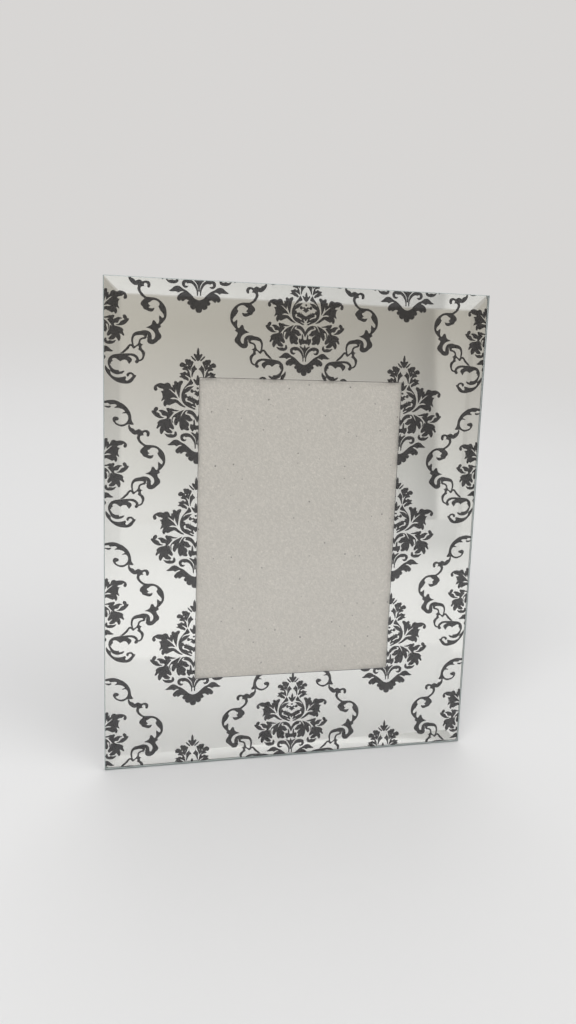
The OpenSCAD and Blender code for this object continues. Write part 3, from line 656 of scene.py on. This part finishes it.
def mottle_group(name):
    """Soft cloudy variation and fine grain."""
    tree, entry, end = new_group(name, {"Cloud Scale": 60, "Grain Scale": 1500}, ["Cloud", "Grain"])
    for key, detail in (("Cloud", 3), ("Grain", 2)):
        value = noise(tree, entry["Vector"], entry[f"{key} Scale"], detail, roughness=0.6)
        set_sockets(tree, end, {key: full_range(tree, value)})
    return tree


def fibre_group(name):
    """Short crossing fibres, as paper and board have."""
    tree, entry, end = new_group(name, {"Scale": 500, "Cut": 0.62}, ["Fibres"])
    length = 7
    sharpness = 14
    total = 0
    for turn in (20, 75, 140):
        lie = drawn_out(tree, entry["Vector"], (length, 1, 1), (turn / 2, turn, turn))
        value = noise(tree, lie, entry["Scale"], detail=1, roughness=0.4)
        above = maths(tree, "SUBTRACT", value, entry["Cut"])
        total = maths(tree, "MAXIMUM", total, maths(tree, "MULTIPLY", above, sharpness))
    clamp = add(tree, "ShaderNodeClamp", {"Value": total})
    set_sockets(tree, end, {"Fibres": clamp.outputs["Result"]})
    return tree


def speck_group(name):
    """Sparse small specks."""
    tree, entry, end = new_group(name, {"Scale": 400, "Size": 0.3, "Share": 0.2}, ["Specks"])
    cells = add(tree, "ShaderNodeTexVoronoi", {"Vector": entry["Vector"], "Scale": entry["Scale"]}).outputs
    chance = add(tree, "ShaderNodeSeparateColor", {"Color": cells["Color"]}).outputs
    kept = maths(tree, "LESS_THAN", chance["Red"], entry["Share"])
    size = maths(tree, "MULTIPLY", entry["Size"], chance["Green"])
    inside = maths(tree, "LESS_THAN", cells["Distance"], size)
    set_sockets(tree, end, {"Specks": maths(tree, "MULTIPLY", kept, inside)})
    return tree


def streak_group(name):
    """Fine lines along the height, as brushed metal has."""
    tree, entry, end = new_group(name, {"Scale": 3000}, ["Streaks"])
    length = 30
    lie = drawn_out(tree, entry["Vector"], (1, length, length))
    value = noise(tree, lie, entry["Scale"], detail=2, roughness=0.6)
    set_sockets(tree, end, {"Streaks": full_range(tree, value)})
    return tree


EFFECTS = {"Mottle": mottle_group, "Fibres": fibre_group, "Specks": speck_group, "Streaks": streak_group}


def effect(tree, name, **values):
    """Places a shared effect in a material, on the piece's own coordinates, and gives its outputs."""
    group = bpy.data.node_groups.get(name) or EFFECTS[name](name)
    sockets = {key.replace("_", " ").title(): value for key, value in values.items()}
    sockets["Vector"] = add(tree, "ShaderNodeTexCoord").outputs["Object"]
    return add(tree, "ShaderNodeGroup", sockets, node_tree=group).outputs


# Finishes

GLASS_IOR = 1.52


def new_material(name):
    """An empty material: its tree, its Principled shader and its output."""
    material = bpy.data.materials.new(name)
    material.use_nodes = True
    tree = material.node_tree
    return material, tree, tree.nodes["Principled BSDF"], tree.nodes["Material Output"]


def scaled(tone, factor):
    """A darker or paler tone."""
    return [min(1, factor * part) for part in tone]


def varied(tree, tone, mask, low, high, *layers):
    """Blends two factors of a tone by a mask. A layer is a mask, a strength and a factor laid over them."""
    shade = blend_colours(tree, mask, scaled(tone, low), scaled(tone, high))
    for mask, strength, factor in layers:
        shade = blend_colours(tree, spread(tree, mask, 0, strength), shade, scaled(tone, factor))
    return shade


def raised(tree, height, strength, distance):
    """The normal of a surface that is raised by a height between 0 and 1."""
    values = {"Strength": strength, "Distance": distance, "Height": height}
    return add(tree, "ShaderNodeBump", values).outputs["Normal"]


def light_card_through(tree, shader, output, from_inside):
    """Lets shadow rays and diffuse rays through a coat, so that the card is light up to the window's edge."""
    rays = add(tree, "ShaderNodeLightPath").outputs
    surface = shader.outputs["BSDF"]
    clear = add(tree, "ShaderNodeBsdfTransparent").outputs["BSDF"]
    if from_inside:
        side = add(tree, "ShaderNodeNewGeometry").outputs
        clear = mix_shaders(tree, side["Backfacing"], surface, clear)
    for kind in ("Is Shadow Ray", "Is Diffuse Ray"):
        surface = mix_shaders(tree, rays[kind], surface, clear)
    set_sockets(tree, output, {"Surface": surface})


def let_light_through(tree, shader, output, tint):
    """Lets shadow rays and diffuse rays straight through, so that glass lights what lies behind it."""
    light = either_ray(tree, "Is Shadow Ray", "Is Diffuse Ray")
    clear = add(tree, "ShaderNodeBsdfTransparent", {"Color": tint}).outputs["BSDF"]
    set_sockets(tree, output, {"Surface": mix_shaders(tree, light, shader.outputs["BSDF"], clear)})


def polished_glass(colours):
    """Clear float glass with a few specks of dust."""
    material, tree, shader, output = new_material("polished_glass")
    dust = effect(tree, "Specks", scale=260, size=0.12, share=0.12)["Specks"]
    set_sockets(tree, shader, {
        "Base Color": colours.glass,
        "Roughness": spread(tree, dust, 0, 0.25),
        "IOR": GLASS_IOR,
        "Transmission Weight": 1,
    })
    let_light_through(tree, shader, output, colours.glass)
    return material


def ground_glass(name, tone, change, clearness, roughness, cloud_scale):
    """Ground glass, for the edge of the sheet, its green darkened as painted shade, and for the pale chamfers
    along it.
    """
    material, tree, shader, output = new_material(name)
    looks = effect(tree, "Mottle", cloud_scale=cloud_scale, grain_scale=2600)
    set_sockets(tree, shader, {
        "Base Color": varied(tree, tone, looks["Cloud"], 1, change),
        "Roughness": spread(tree, looks["Grain"], roughness, roughness + 0.2),
        "IOR": GLASS_IOR,
        "Transmission Weight": clearness,
    })
    let_light_through(tree, shader, output, tone)
    return material


def silver(colours):
    """Silver on the back of the glass, as good as free of faults."""
    material, tree, shader, output = new_material("silver")
    cloud = effect(tree, "Mottle", cloud_scale=14)["Cloud"]
    set_sockets(tree, shader, {
        "Base Color": varied(tree, colours.silver, cloud, 1, 0.985),
        "Roughness": spread(tree, cloud, 0.01, 0.035),
        "Metallic": 1,
    })
    light_card_through(tree, shader, output, from_inside=True)
    return material


def backing_paint(colours):
    """Grey paint that protects the silver."""
    material, tree, shader, output = new_material("backing_paint")
    looks = effect(tree, "Mottle", cloud_scale=45, grain_scale=1800)
    set_sockets(tree, shader, {
        "Base Color": varied(tree, colours.paint, looks["Cloud"], 1, 1.25),
        "Roughness": spread(tree, looks["Grain"], 0.4, 0.6),
        "Normal": raised(tree, looks["Grain"], 0.3, 0.05 * MM),
    })
    light_card_through(tree, shader, output, from_inside=False)
    return material


def damask_ink(colours):
    """Charcoal ink, printed a little unevenly."""
    material, tree, shader, _ = new_material("damask_ink")
    looks = effect(tree, "Mottle", cloud_scale=220, grain_scale=2400)
    set_sockets(tree, shader, {
        "Base Color": varied(tree, colours.ink, looks["Cloud"], 1, 1.8),
        "Roughness": spread(tree, looks["Grain"], 0.45, 0.65),
        "Specular IOR Level": 0.1,
    })
    return material


def grey_card(colours):
    """Recycled card: pale fibres and dark specks in a mottled grey."""
    material, tree, shader, _ = new_material("grey_card")
    looks = effect(tree, "Mottle", cloud_scale=60, grain_scale=1500)
    grain = looks["Grain"]
    fibres = effect(tree, "Fibres", scale=1300, cut=0.58)["Fibres"]
    dark = effect(tree, "Specks", scale=950, size=0.45, share=0.022)["Specks"]
    pale = effect(tree, "Specks", scale=1100, size=0.6, share=0.06)["Specks"]
    layers = ((grain, 0.4, 0.72), (fibres, 0.35, 1.22), (pale, 0.4, 1.35), (dark, 0.75, 0.2))
    set_sockets(tree, shader, {
        "Base Color": varied(tree, colours.card, looks["Cloud"], 0.985, 1.015, *layers),
        "Roughness": spread(tree, grain, 0.8, 0.95),
        "Normal": raised(tree, maths(tree, "ADD", grain, fibres), 0.35, 0.06 * MM),
    })
    return material


def black_flock(colours):
    """Flocked paper: short standing fibres with a soft sheen."""
    material, tree, shader, _ = new_material("black_flock")
    looks = effect(tree, "Mottle", cloud_scale=90, grain_scale=1300)
    grain = looks["Grain"]
    lint = effect(tree, "Fibres", scale=420, cut=0.77)["Fibres"]
    set_sockets(tree, shader, {
        "Base Color": varied(tree, colours.flock, looks["Cloud"], 1, 2.2, (grain, 0.7, 3.4), (lint, 0.3, 8)),
        "Roughness": spread(tree, grain, 0.85, 1),
        "Specular IOR Level": 0.2,
        "Sheen Weight": 0.12,
        "Sheen Roughness": 0.4,
        "Normal": raised(tree, grain, 0.8, 0.15 * MM),
    })
    return material


def pressed_board(name, tone, fibre_cut, roughness):
    """Pressed wood fibre, from fine hardboard to paler fibreboard."""
    material, tree, shader, _ = new_material(name)
    looks = effect(tree, "Mottle", cloud_scale=70, grain_scale=1600)
    grain = looks["Grain"]
    fibres = effect(tree, "Fibres", scale=320, cut=fibre_cut)["Fibres"]
    specks = effect(tree, "Specks", scale=300, size=0.3, share=0.08)["Specks"]
    layers = ((fibres, 0.45, 1.6), (specks, 0.5, 0.45))
    set_sockets(tree, shader, {
        "Base Color": varied(tree, tone, looks["Cloud"], 0.82, 1.18, *layers),
        "Roughness": spread(tree, grain, roughness, roughness + 0.2),
        "Normal": raised(tree, maths(tree, "ADD", grain, fibres), 0.4, 0.08 * MM),
    })
    return material


def foam(colours):
    """White foam tape with fine cells."""
    material, tree, shader, _ = new_material("foam")
    cloud = effect(tree, "Mottle", cloud_scale=120)["Cloud"]
    cells = effect(tree, "Specks", scale=1500, size=0.8, share=0.7)["Specks"]
    set_sockets(tree, shader, {
        "Base Color": varied(tree, colours.foam, cloud, 1, 0.9, (cells, 0.2, 0.6)),
        "Roughness": 0.8,
        "Normal": raised(tree, cells, 0.4, 0.05 * MM),
    })
    return material


def nickel(colours):
    """Barrel-plated nickel with fine handling scratches."""
    material, tree, shader, _ = new_material("nickel")
    cloud = effect(tree, "Mottle", cloud_scale=160)["Cloud"]
    scratches = effect(tree, "Fibres", scale=700, cut=0.68)["Fibres"]
    streaks = effect(tree, "Streaks", scale=3500)["Streaks"]
    rough = maths(tree, "ADD", spread(tree, cloud, 0.12, 0.2), maths(tree, "MULTIPLY", scratches, 0.12))
    set_sockets(tree, shader, {
        "Base Color": varied(tree, colours.nickel, streaks, 1, 0.85),
        "Roughness": maths(tree, "ADD", rough, maths(tree, "MULTIPLY", streaks, 0.08)),
        "Metallic": 1,
        "Normal": raised(tree, maths(tree, "ADD", streaks, scratches), 0.05, 0.02 * MM),
    })
    return material


# The flat print. Points closer than WELD are one point, and a cut takes points within SNAP as lying on it. An
# outline that swells keeps its corners as mitres, unless one is sharper than MITRE_LIMIT.

WELD = 0.001 * MM
SNAP = 0.0001 * MM
MITRE_LIMIT = 0.5
CURVE_STEPS = 2


def flat_motif(name, outlines, axis, tip):
    """Fills the outlines of a motif. Its points keep their place from the axis and the tip, in metres."""
    curve = bpy.data.curves.new(name, "CURVE")
    curve.dimensions = "2D"
    curve.fill_mode = "BOTH"
    curve.resolution_u = CURVE_STEPS
    for runs in outlines.values():
        points = [(p, "VECTOR" if p is run[0] else "AUTO") for run in runs for p in run]
        spline = curve.splines.new("BEZIER")
        spline.bezier_points.add(len(points) - 1)
        spline.use_cyclic_u = True
        for knot, ((x, y), handle) in zip(spline.bezier_points, points):
            knot.co = ((x - axis) * MM, (y - tip) * MM, 0)
            knot.handle_left_type = handle
            knot.handle_right_type = handle
    holder = new_object(name, curve)
    bpy.context.view_layer.update()
    mesh = bpy.data.meshes.new_from_object(holder.evaluated_get(bpy.context.evaluated_depsgraph_get()))
    bpy.data.objects.remove(holder)
    bpy.data.curves.remove(curve)
    return mesh


def print_motif(bm, motif, middle, tip, wide, high):
    """Prints a flat motif at its place. A negative width mirrors it."""
    corners = [bm.verts.new((middle + wide * v.co.x, tip + high * v.co.y, 0)) for v in motif.vertices]
    for face in motif.polygons:
        bm.faces.new([corners[i] for i in face.vertices])


def print_columns(bm, damask):
    """Prints both halves of every medallion, and of the scrolls round the smaller ones."""
    medallion = flat_motif("medallion", MEDALLION, MEDALLION_AXIS, MEDALLION_TIP)
    scroll = flat_motif("scroll", SCROLL, SCROLL_AXIS, SCROLL_TIP)
    small = (medallion, damask.small_width, damask.small_height)
    for side in (-1, 1):
        for columns, motifs in ((PLAIN_TIPS, [(medallion, 1, 1)]), (SCROLLED_TIPS, [small, (scroll, 1, 1)])):
            for column, tips in columns.items():
                for tip in tips:
                    for motif, wide, high in motifs:
                        print_motif(bm, motif, column * damask.column_pitch, tip * MM,
                                    side * damask.size * wide, damask.size * high)
    bmesh.ops.remove_doubles(bm, verts=bm.verts[:], dist=WELD)
    for mesh in (medallion, scroll):
        bpy.data.meshes.remove(mesh)


def swell_print(bm, amount):
    """Moves the outlines of the flat print outwards, as ink spreads."""
    pushes = {}
    for edge in bm.edges:
        if not edge.is_boundary:
            continue
        first, second = (vertex.co for vertex in edge.verts)
        along = (second - first).normalized()
        push = Vector((along.y, -along.x, 0))
        if push.dot(edge.link_faces[0].calc_center_median() - first) > 0:
            push.negate()
        for vertex in edge.verts:
            pushes.setdefault(vertex, []).append(push)
    for vertex, sides in pushes.items():
        middle = sum(sides, Vector())
        vertex.co += amount * len(sides) * middle / max(middle.length_squared, MITRE_LIMIT * len(sides))


def four_sides(half_width, half_height):
    """The middle of each side of an upright rectangle, with the direction that looks out of it."""
    for x, y in ((half_width, 0), (-half_width, 0), (0, half_height), (0, -half_height)):
        side = Vector((x, y, 0))
        yield side, side.normalized()


def cut_print(bm, place, normal, clear=False):
    """Cuts the flat print along a line, and takes away what lies beyond it where asked."""
    parts = bm.verts[:] + bm.edges[:] + bm.faces[:]
    bmesh.ops.bisect_plane(bm, geom=parts, plane_co=place, plane_no=normal, clear_outer=clear, dist=SNAP)


def clear_window(bm, half_width, half_height, line):
    """Takes the print out of the window, and lays a dark line of ink round it as painted shade along the
    window's edge.
    """
    for side, outward in four_sides(half_width, half_height):
        cut_print(bm, side + line * outward, outward)
    inside = []
    for face in bm.faces:
        centre = face.calc_center_median()
        if abs(centre.x) < half_width + line and abs(centre.y) < half_height + line:
            inside.append(face)
    bmesh.ops.delete(bm, geom=inside, context="FACES")
    band(bm, *(rectangle(bm, half_width + grow, half_height + grow, 0, Matrix()) for grow in (0, line)))


# Operators, one for each piece or group of like pieces

class PHOTO_FRAME_OT_lay_glass(Operator):
    """Makes the sheet of bevelled glass with its ground edges"""

    bl_idname = "photo_frame.lay_glass"
    bl_label = "Lay Glass"

    def execute(self, context):
        sizes = context.scene.glass_sizes
        colours = context.scene.finish_colours
        thickness = GLASS_HIGH.z
        slope = sizes.bevel_drop / sizes.bevel_width
        polished, ground, frosted = range(3)
        # Inset, depth behind the face, and the finish of the band from the ring before
        rings = (
            (sizes.bevel_width, 0, polished),
            (sizes.arris, sizes.bevel_drop - slope * sizes.arris, polished),
            (0, sizes.bevel_drop + sizes.arris, frosted),
            (0, thickness - sizes.arris, ground),
            (sizes.arris, thickness, frosted),
        )
        bm = bmesh.new()
        loops = [rectangle(bm, GLASS_HIGH.x - inset, GLASS_HIGH.y - inset, z) for inset, z, _ in rings]
        bm.faces.new(loops[0])
        bm.faces.new(loops[-1])
        for first, second, ring in zip(loops, loops[1:], rings[1:]):
            band(bm, first, second, ring[2])
        finishes = [
            polished_glass(colours),
            # The edge's dark tone is painted shade over the glass's green.
            ground_glass("shaded_ground_edge", colours.glass_edge_tint_and_shade, change=1.35,
                         clearness=0.25, roughness=0.3, cloud_scale=90),
            ground_glass("frosted_arris", colours.glass_arris, change=0.85,
                         clearness=0.2, roughness=0.35, cloud_scale=120),
        ]
        new_piece("bevelled_glass", bm, finishes, "clear_glass", "front_glass")
        return {"FINISHED"}


class PHOTO_FRAME_OT_silver_back(Operator):
    """Makes the silver coat, its backing paint and the window in them"""

    bl_idname = "photo_frame.silver_back"
    bl_label = "Silver Back"

    def execute(self, context):
        sizes = context.scene.glass_sizes
        colours = context.scene.finish_colours
        outer = (COAT_HIGH.x, COAT_HIGH.y)
        inner = (sizes.window_width / 2, sizes.window_height / 2)
        front = COAT_LOW.z + sizes.ink_room
        rear = COAT_HIGH.z
        silvered, painted = range(2)
        bm = bmesh.new()
        outer_front, inner_front, outer_rear, inner_rear = (
            rectangle(bm, *halves, depth) for depth in (front, rear) for halves in (outer, inner))
        band(bm, outer_front, inner_front, silvered)
        band(bm, inner_front, inner_rear, painted)
        band(bm, inner_rear, outer_rear, painted)
        band(bm, outer_rear, outer_front, painted)
        new_piece("silver_coat", bm, [silver(colours), backing_paint(colours)], "mirror", "mirror_coat")
        return {"FINISHED"}


class PHOTO_FRAME_OT_print_damask(Operator):
    """Prints the damask between the glass and the silver"""

    bl_idname = "photo_frame.print_damask"
    bl_label = "Print Damask"

    def execute(self, context):
        sizes = context.scene.glass_sizes
        damask = context.scene.damask_sizes
        bm = bmesh.new()
        print_columns(bm, damask)
        swell_print(bm, damask.swell)
        for side, outward in four_sides(COAT_HIGH.x, COAT_HIGH.y):
            cut_print(bm, side, outward, clear=True)
        # The window's dark line is painted shade along its edge, laid in the ink.
        clear_window(bm, sizes.window_width / 2, sizes.window_height / 2, sizes.window_shade_line)
        grown = bmesh.ops.extrude_face_region(bm, geom=bm.faces[:])["geom"]
        for vertex in (part for part in grown if isinstance(part, bmesh.types.BMVert)):
            vertex.co.z += sizes.ink_thickness
        start = COAT_LOW.z + (sizes.ink_room - sizes.ink_thickness) / 2
        bmesh.ops.transform(bm, matrix=PANEL @ Matrix.Translation((0, 0, start)), verts=bm.verts[:])
        new_piece("damask_print", bm, [damask_ink(context.scene.finish_colours)], "mirror")
        return {"FINISHED"}


class PHOTO_FRAME_OT_finish_card(Operator):
    """Finishes the grey card behind the window"""

    bl_idname = "photo_frame.finish_card"
    bl_label = "Finish Card"

    def execute(self, context):
        dress(grey_card(context.scene.finish_colours), "photo_card")
        return {"FINISHED"}


class PHOTO_FRAME_OT_finish_boards(Operator):
    """Finishes the backing board, the easel back and the leg"""

    bl_idname = "photo_frame.finish_boards"
    bl_label = "Finish Boards"

    def execute(self, context):
        colours = context.scene.finish_colours
        fibreboard = pressed_board("fibreboard", colours.fibreboard, fibre_cut=0.6, roughness=0.7)
        hardboard = pressed_board("hardboard", colours.hardboard, fibre_cut=0.64, roughness=0.5)
        dress(fibreboard, "backing_board")
        dress(hardboard, "easel_back", "easel_leg")
        return {"FINISHED"}


class PHOTO_FRAME_OT_stick_tapes(Operator):
    """Finishes the foam tapes between glass and board"""

    bl_idname = "photo_frame.stick_tapes"
    bl_label = "Stick Tapes"

    def execute(self, context):
        sides = ("top", "bottom", "left", "right")
        dress(foam(context.scene.finish_colours), *(f"tape_{side}" for side in sides))
        return {"FINISHED"}


class PHOTO_FRAME_OT_flock_back(Operator):
    """Finishes the flocked paper on the back and the leg"""

    bl_idname = "photo_frame.flock_back"
    bl_label = "Flock Back"

    def execute(self, context):
        papers = ("backing_flock", "easel_back_flock", "leg_flock_front", "leg_flock_rear")
        dress(black_flock(context.scene.finish_colours), *papers)
        return {"FINISHED"}


class PHOTO_FRAME_OT_plate_fittings(Operator):
    """Finishes the hinge, its rivets, the turn buttons and their screws"""

    bl_idname = "photo_frame.plate_fittings"
    bl_label = "Plate Fittings"

    def execute(self, context):
        hinge = ("hinge_back_leaf", "hinge_pin", "hinge_back_rivets", "hinge_leg_leaf", "hinge_leg_rivets")
        corners = [f"{side}_{end}" for side in ("left", "right") for end in ("upper", "lower")]
        buttons = [f"{kind}_{corner}" for kind in ("turn_button", "button_screw") for corner in corners]
        dress(nickel(context.scene.finish_colours), *hinge, *buttons)
        return {"FINISHED"}


class PHOTO_FRAME_OT_set_stage(Operator):
    """Sets the floor, the world, the lamps and the camera"""

    bl_idname = "photo_frame.set_stage"
    bl_label = "Set Stage"

    def execute(self, context):
        sizes = context.scene.stage_sizes
        lay_floor(sizes)
        light_world(sizes)
        hang_lamps()
        set_camera(context.scene, sizes)
        context.scene.view_settings.view_transform = "Standard"
        return {"FINISHED"}


# The stage, in metres. The camera sees the floor fade into the backdrop between two distances. A lamp has a
# name, a place, a side, a power in watts, and whether mirror and glass show it.

FADE_START = 0.45
FADE_END = 1.5
WORLD_STRENGTH = 0.5
SENSOR_MM = 36
NEAREST_SEEN = 0.01
LAMP_AIM = Vector((0, 0, 0.1))
LAMPS = (
    ("key_lamp", (-1.1, -1.2, 1.9), 1.4, 23, False),
    ("fill_lamp", (1.5, -0.9, 1.7), 1.6, 11, False),
    ("back_lamp", (0.3, 1.5, 1.8), 1.4, 7, True),
)

# What only the mirror and the glass show of the room: a painted reflection, in which the floor glows rather
# than being lit. The table gets paler from PALER_START on, by up to PALER, as painted light, and ends within
# TABLE_SOFT. The painted floor beyond it has a near and a far tone. To the right of straight ahead, floor and
# wall lose a share of their light, on the floor as painted shade. The wall has a tone at each height, from
# the horizon at 0 to straight up at 1, and its light changes by a share between two directions, which are
# tangents of the angle to the right.

PALER_START = -0.08
PALER = 0.3
TABLE_SOFT = 0.03
FLOOR_NEAR = -0.6
FLOOR_FAR = -2.4
PAINTED_NEAR_REFLECTION = (0.98, 0.975, 0.965)
PAINTED_FAR_REFLECTION = (0.89, 0.885, 0.87)
FLOOR_NEAR_LOSS = 0.15
FLOOR_FAR_LOSS = 0.55
WALL_LOSS = 0.75
STRAIGHT_AHEAD = 0.05
HORIZON_TONE = (0.87, 0.86, 0.84)
WALL_TONES = (
    (0.035, (0.79, 0.78, 0.75)),
    (0.12, (0.66, 0.635, 0.595)),
    (0.2, (0.565, 0.535, 0.48)),
    (0.5, (0.6, 0.58, 0.55)),
    (0.75, (1, 1, 1)),
)
WALL_CHANGES = ((0.4, 0.44, -0.12), (0.44, 0.45, 0.37))


def mirrored_rays(tree):
    """1 for rays that a mirror or glass has turned."""
    return either_ray(tree, "Is Glossy Ray", "Is Transmission Ray")


def sideways(tree, x, loss):
    """1 straight ahead of the frame and less to its right."""
    aside = maths(tree, "MAXIMUM", maths(tree, "SUBTRACT", x, STRAIGHT_AHEAD), 0)
    return maths(tree, "SUBTRACT", 1, maths(tree, "MULTIPLY", aside, loss))


def lay_floor(sizes):
    """A wide pale floor. For mirror and glass it shows a painted reflection: painted light makes it paler
    towards the table's front, and beyond that it glows as the room's floor.
    """
    half = sizes.floor_size / 2
    mesh = bpy.data.meshes.new("floor")
    mesh.from_pydata([(x * half, y * half, 0) for x, y in CORNERS], [], [range(4)])
    material, tree, shader, output = new_material("pale_floor")
    cloud = effect(tree, "Mottle", cloud_scale=3)["Cloud"]
    set_sockets(tree, shader, {
        "Base Color": varied(tree, sizes.floor_colour, cloud, 1, 0.985),
        "Roughness": 0.6,
        "Specular IOR Level": 0.2,
    })
    place = add(tree, "ShaderNodeNewGeometry").outputs["Position"]
    depth = parts_of(tree, place)["Y"]
    far = between(tree, depth, FLOOR_NEAR, FLOOR_FAR)
    outward = add(tree, "ShaderNodeVectorMath", {0: place}, operation="NORMALIZE").outputs["Vector"]
    loss = spread(tree, far, FLOOR_NEAR_LOSS, FLOOR_FAR_LOSS)
    # Painted reflection: a glow for the floor beyond the table, darker to the right as painted shade.
    painted_reflection = add(tree, "ShaderNodeEmission", {
        "Color": blend_colours(tree, far, PAINTED_NEAR_REFLECTION, PAINTED_FAR_REFLECTION),
        "Strength": sideways(tree, parts_of(tree, outward)["X"], loss),
    }).outputs["Emission"]
    beyond = between(tree, depth, sizes.table_front, sizes.table_front - TABLE_SOFT)
    # Painted light that makes the table paler towards its front, as mirror and glass see it.
    paler = maths(tree, "MULTIPLY", between(tree, depth, PALER_START, sizes.table_front), PALER)
    painted_reflection_share = maths(tree, "MULTIPLY", maths(tree, "MAXIMUM", beyond, paler), mirrored_rays(tree))
    surface = mix_shaders(tree, painted_reflection_share, shader.outputs["BSDF"], painted_reflection)
    distance = add(tree, "ShaderNodeVectorMath", {0: place}, operation="LENGTH").outputs["Value"]
    fade = between(tree, distance, FADE_START, FADE_END)
    camera_rays = add(tree, "ShaderNodeLightPath").outputs["Is Camera Ray"]
    backdrop = add(tree, "ShaderNodeEmission", {"Color": sizes.backdrop}).outputs["Emission"]
    surface = mix_shaders(tree, maths(tree, "MULTIPLY", fade, camera_rays), surface, backdrop)
    set_sockets(tree, output, {"Surface": surface})
    mesh.materials.append(material)
    floor = new_object("floor", mesh)


def light_world(sizes):
    """Soft light from all round, a plain backdrop, and for mirrors a room that darkens upwards."""
    world = bpy.data.worlds.new("room")
    bpy.context.scene.world = world
    world.use_nodes = True
    tree = world.node_tree
    tree.nodes.clear()
    toward = parts_of(tree, add(tree, "ShaderNodeTexCoord").outputs["Generated"])
    ramp = add(tree, "ShaderNodeValToRGB", {"Fac": toward["Z"]})
    stops = ramp.color_ramp.elements
    stops[0].color = (*HORIZON_TONE, 1)
    for height, tone in WALL_TONES:
        stops.new(height).color = (*tone, 1)
    aside = maths(tree, "DIVIDE", toward["X"], maths(tree, "MULTIPLY", toward["Y"], -1))
    walls = 1
    for start, end, change in WALL_CHANGES:
        walls = maths(tree, "ADD", walls, maths(tree, "MULTIPLY", between(tree, aside, start, end), change))
    strength = maths(tree, "MULTIPLY", sideways(tree, toward["X"], WALL_LOSS), walls)
    sources = (((1, 1, 1), WORLD_STRENGTH), (sizes.backdrop, 1), (ramp.outputs["Color"], strength))
    light, shown, seen = (
        add(tree, "ShaderNodeBackground", {"Color": tone, "Strength": power}).outputs["Background"]
        for tone, power in sources)
    camera_rays = add(tree, "ShaderNodeLightPath").outputs["Is Camera Ray"]
    surface = mix_shaders(tree, camera_rays, light, shown)
    add(tree, "ShaderNodeOutputWorld", {"Surface": mix_shaders(tree, mirrored_rays(tree), surface, seen)})


def hang_lamps():
    """Large soft lamps above the frame. The mirror doesn't show those in front of it."""
    for name, place, side, power, shown in LAMPS:
        lamp = bpy.data.lights.new(name, "AREA")
        lamp.shape = "SQUARE"
        lamp.size = side
        lamp.energy = power
        holder = new_object(name, lamp)
        holder.location = place
        holder.rotation_euler = (LAMP_AIM - Vector(place)).to_track_quat("-Z", "Y").to_euler()
        holder.visible_glossy = shown
        holder.visible_transmission = shown


def set_camera(scene, sizes):
    """The camera, a little to the left and above the frame."""
    camera = bpy.data.cameras.new("camera")
    camera.sensor_width = SENSOR_MM
    camera.lens = sizes.lens
    camera.clip_start = NEAREST_SEEN
    holder = new_object("camera", camera)
    holder.location = sizes.camera_place
    holder.rotation_euler = sizes.camera_turn
    scene.camera = holder


STEPS = (
    PHOTO_FRAME_OT_set_stage,
    PHOTO_FRAME_OT_lay_glass,
    PHOTO_FRAME_OT_silver_back,
    PHOTO_FRAME_OT_print_damask,
    PHOTO_FRAME_OT_finish_card,
    PHOTO_FRAME_OT_stick_tapes,
    PHOTO_FRAME_OT_finish_boards,
    PHOTO_FRAME_OT_flock_back,
    PHOTO_FRAME_OT_plate_fittings,
)
GROUPS = {
    "glass_sizes": GlassSizes,
    "damask_sizes": DamaskSizes,
    "finish_colours": FinishColours,
    "stage_sizes": StageSizes,
}


class PHOTO_FRAME_PT_sidebar(Panel):
    """Lists the steps that dress the photo frame, and its sizes and colours"""

    bl_idname = "PHOTO_FRAME_PT_sidebar"
    bl_label = "Photo Frame"
    bl_space_type = "VIEW_3D"
    bl_region_type = "UI"
    bl_category = "Photo Frame"

    def draw(self, context):
        for step in STEPS:
            self.layout.operator(step.bl_idname)
        for group in GROUPS:
            settings = getattr(context.scene, group)
            box = self.layout.box()
            for name in settings.__annotations__:
                box.prop(settings, name)


def register():
    """Registers the sizes, the steps and the panel."""
    for name, group in GROUPS.items():
        bpy.utils.register_class(group)
        setattr(bpy.types.Scene, name, PointerProperty(type=group))
    for step in STEPS:
        bpy.utils.register_class(step)
    bpy.utils.register_class(PHOTO_FRAME_PT_sidebar)


def unregister():
    """Takes the panel, the steps and the sizes away again."""
    bpy.utils.unregister_class(PHOTO_FRAME_PT_sidebar)
    for step in reversed(STEPS):
        bpy.utils.unregister_class(step)
    for name, group in reversed(GROUPS.items()):
        delattr(bpy.types.Scene, name)
        bpy.utils.unregister_class(group)


def main():
    """Dresses the frame step by step."""
    register()
    for step in STEPS:
        family, name = step.bl_idname.split(".")
        getattr(getattr(bpy.ops, family), name)()


if __name__ == "__main__":
    main()
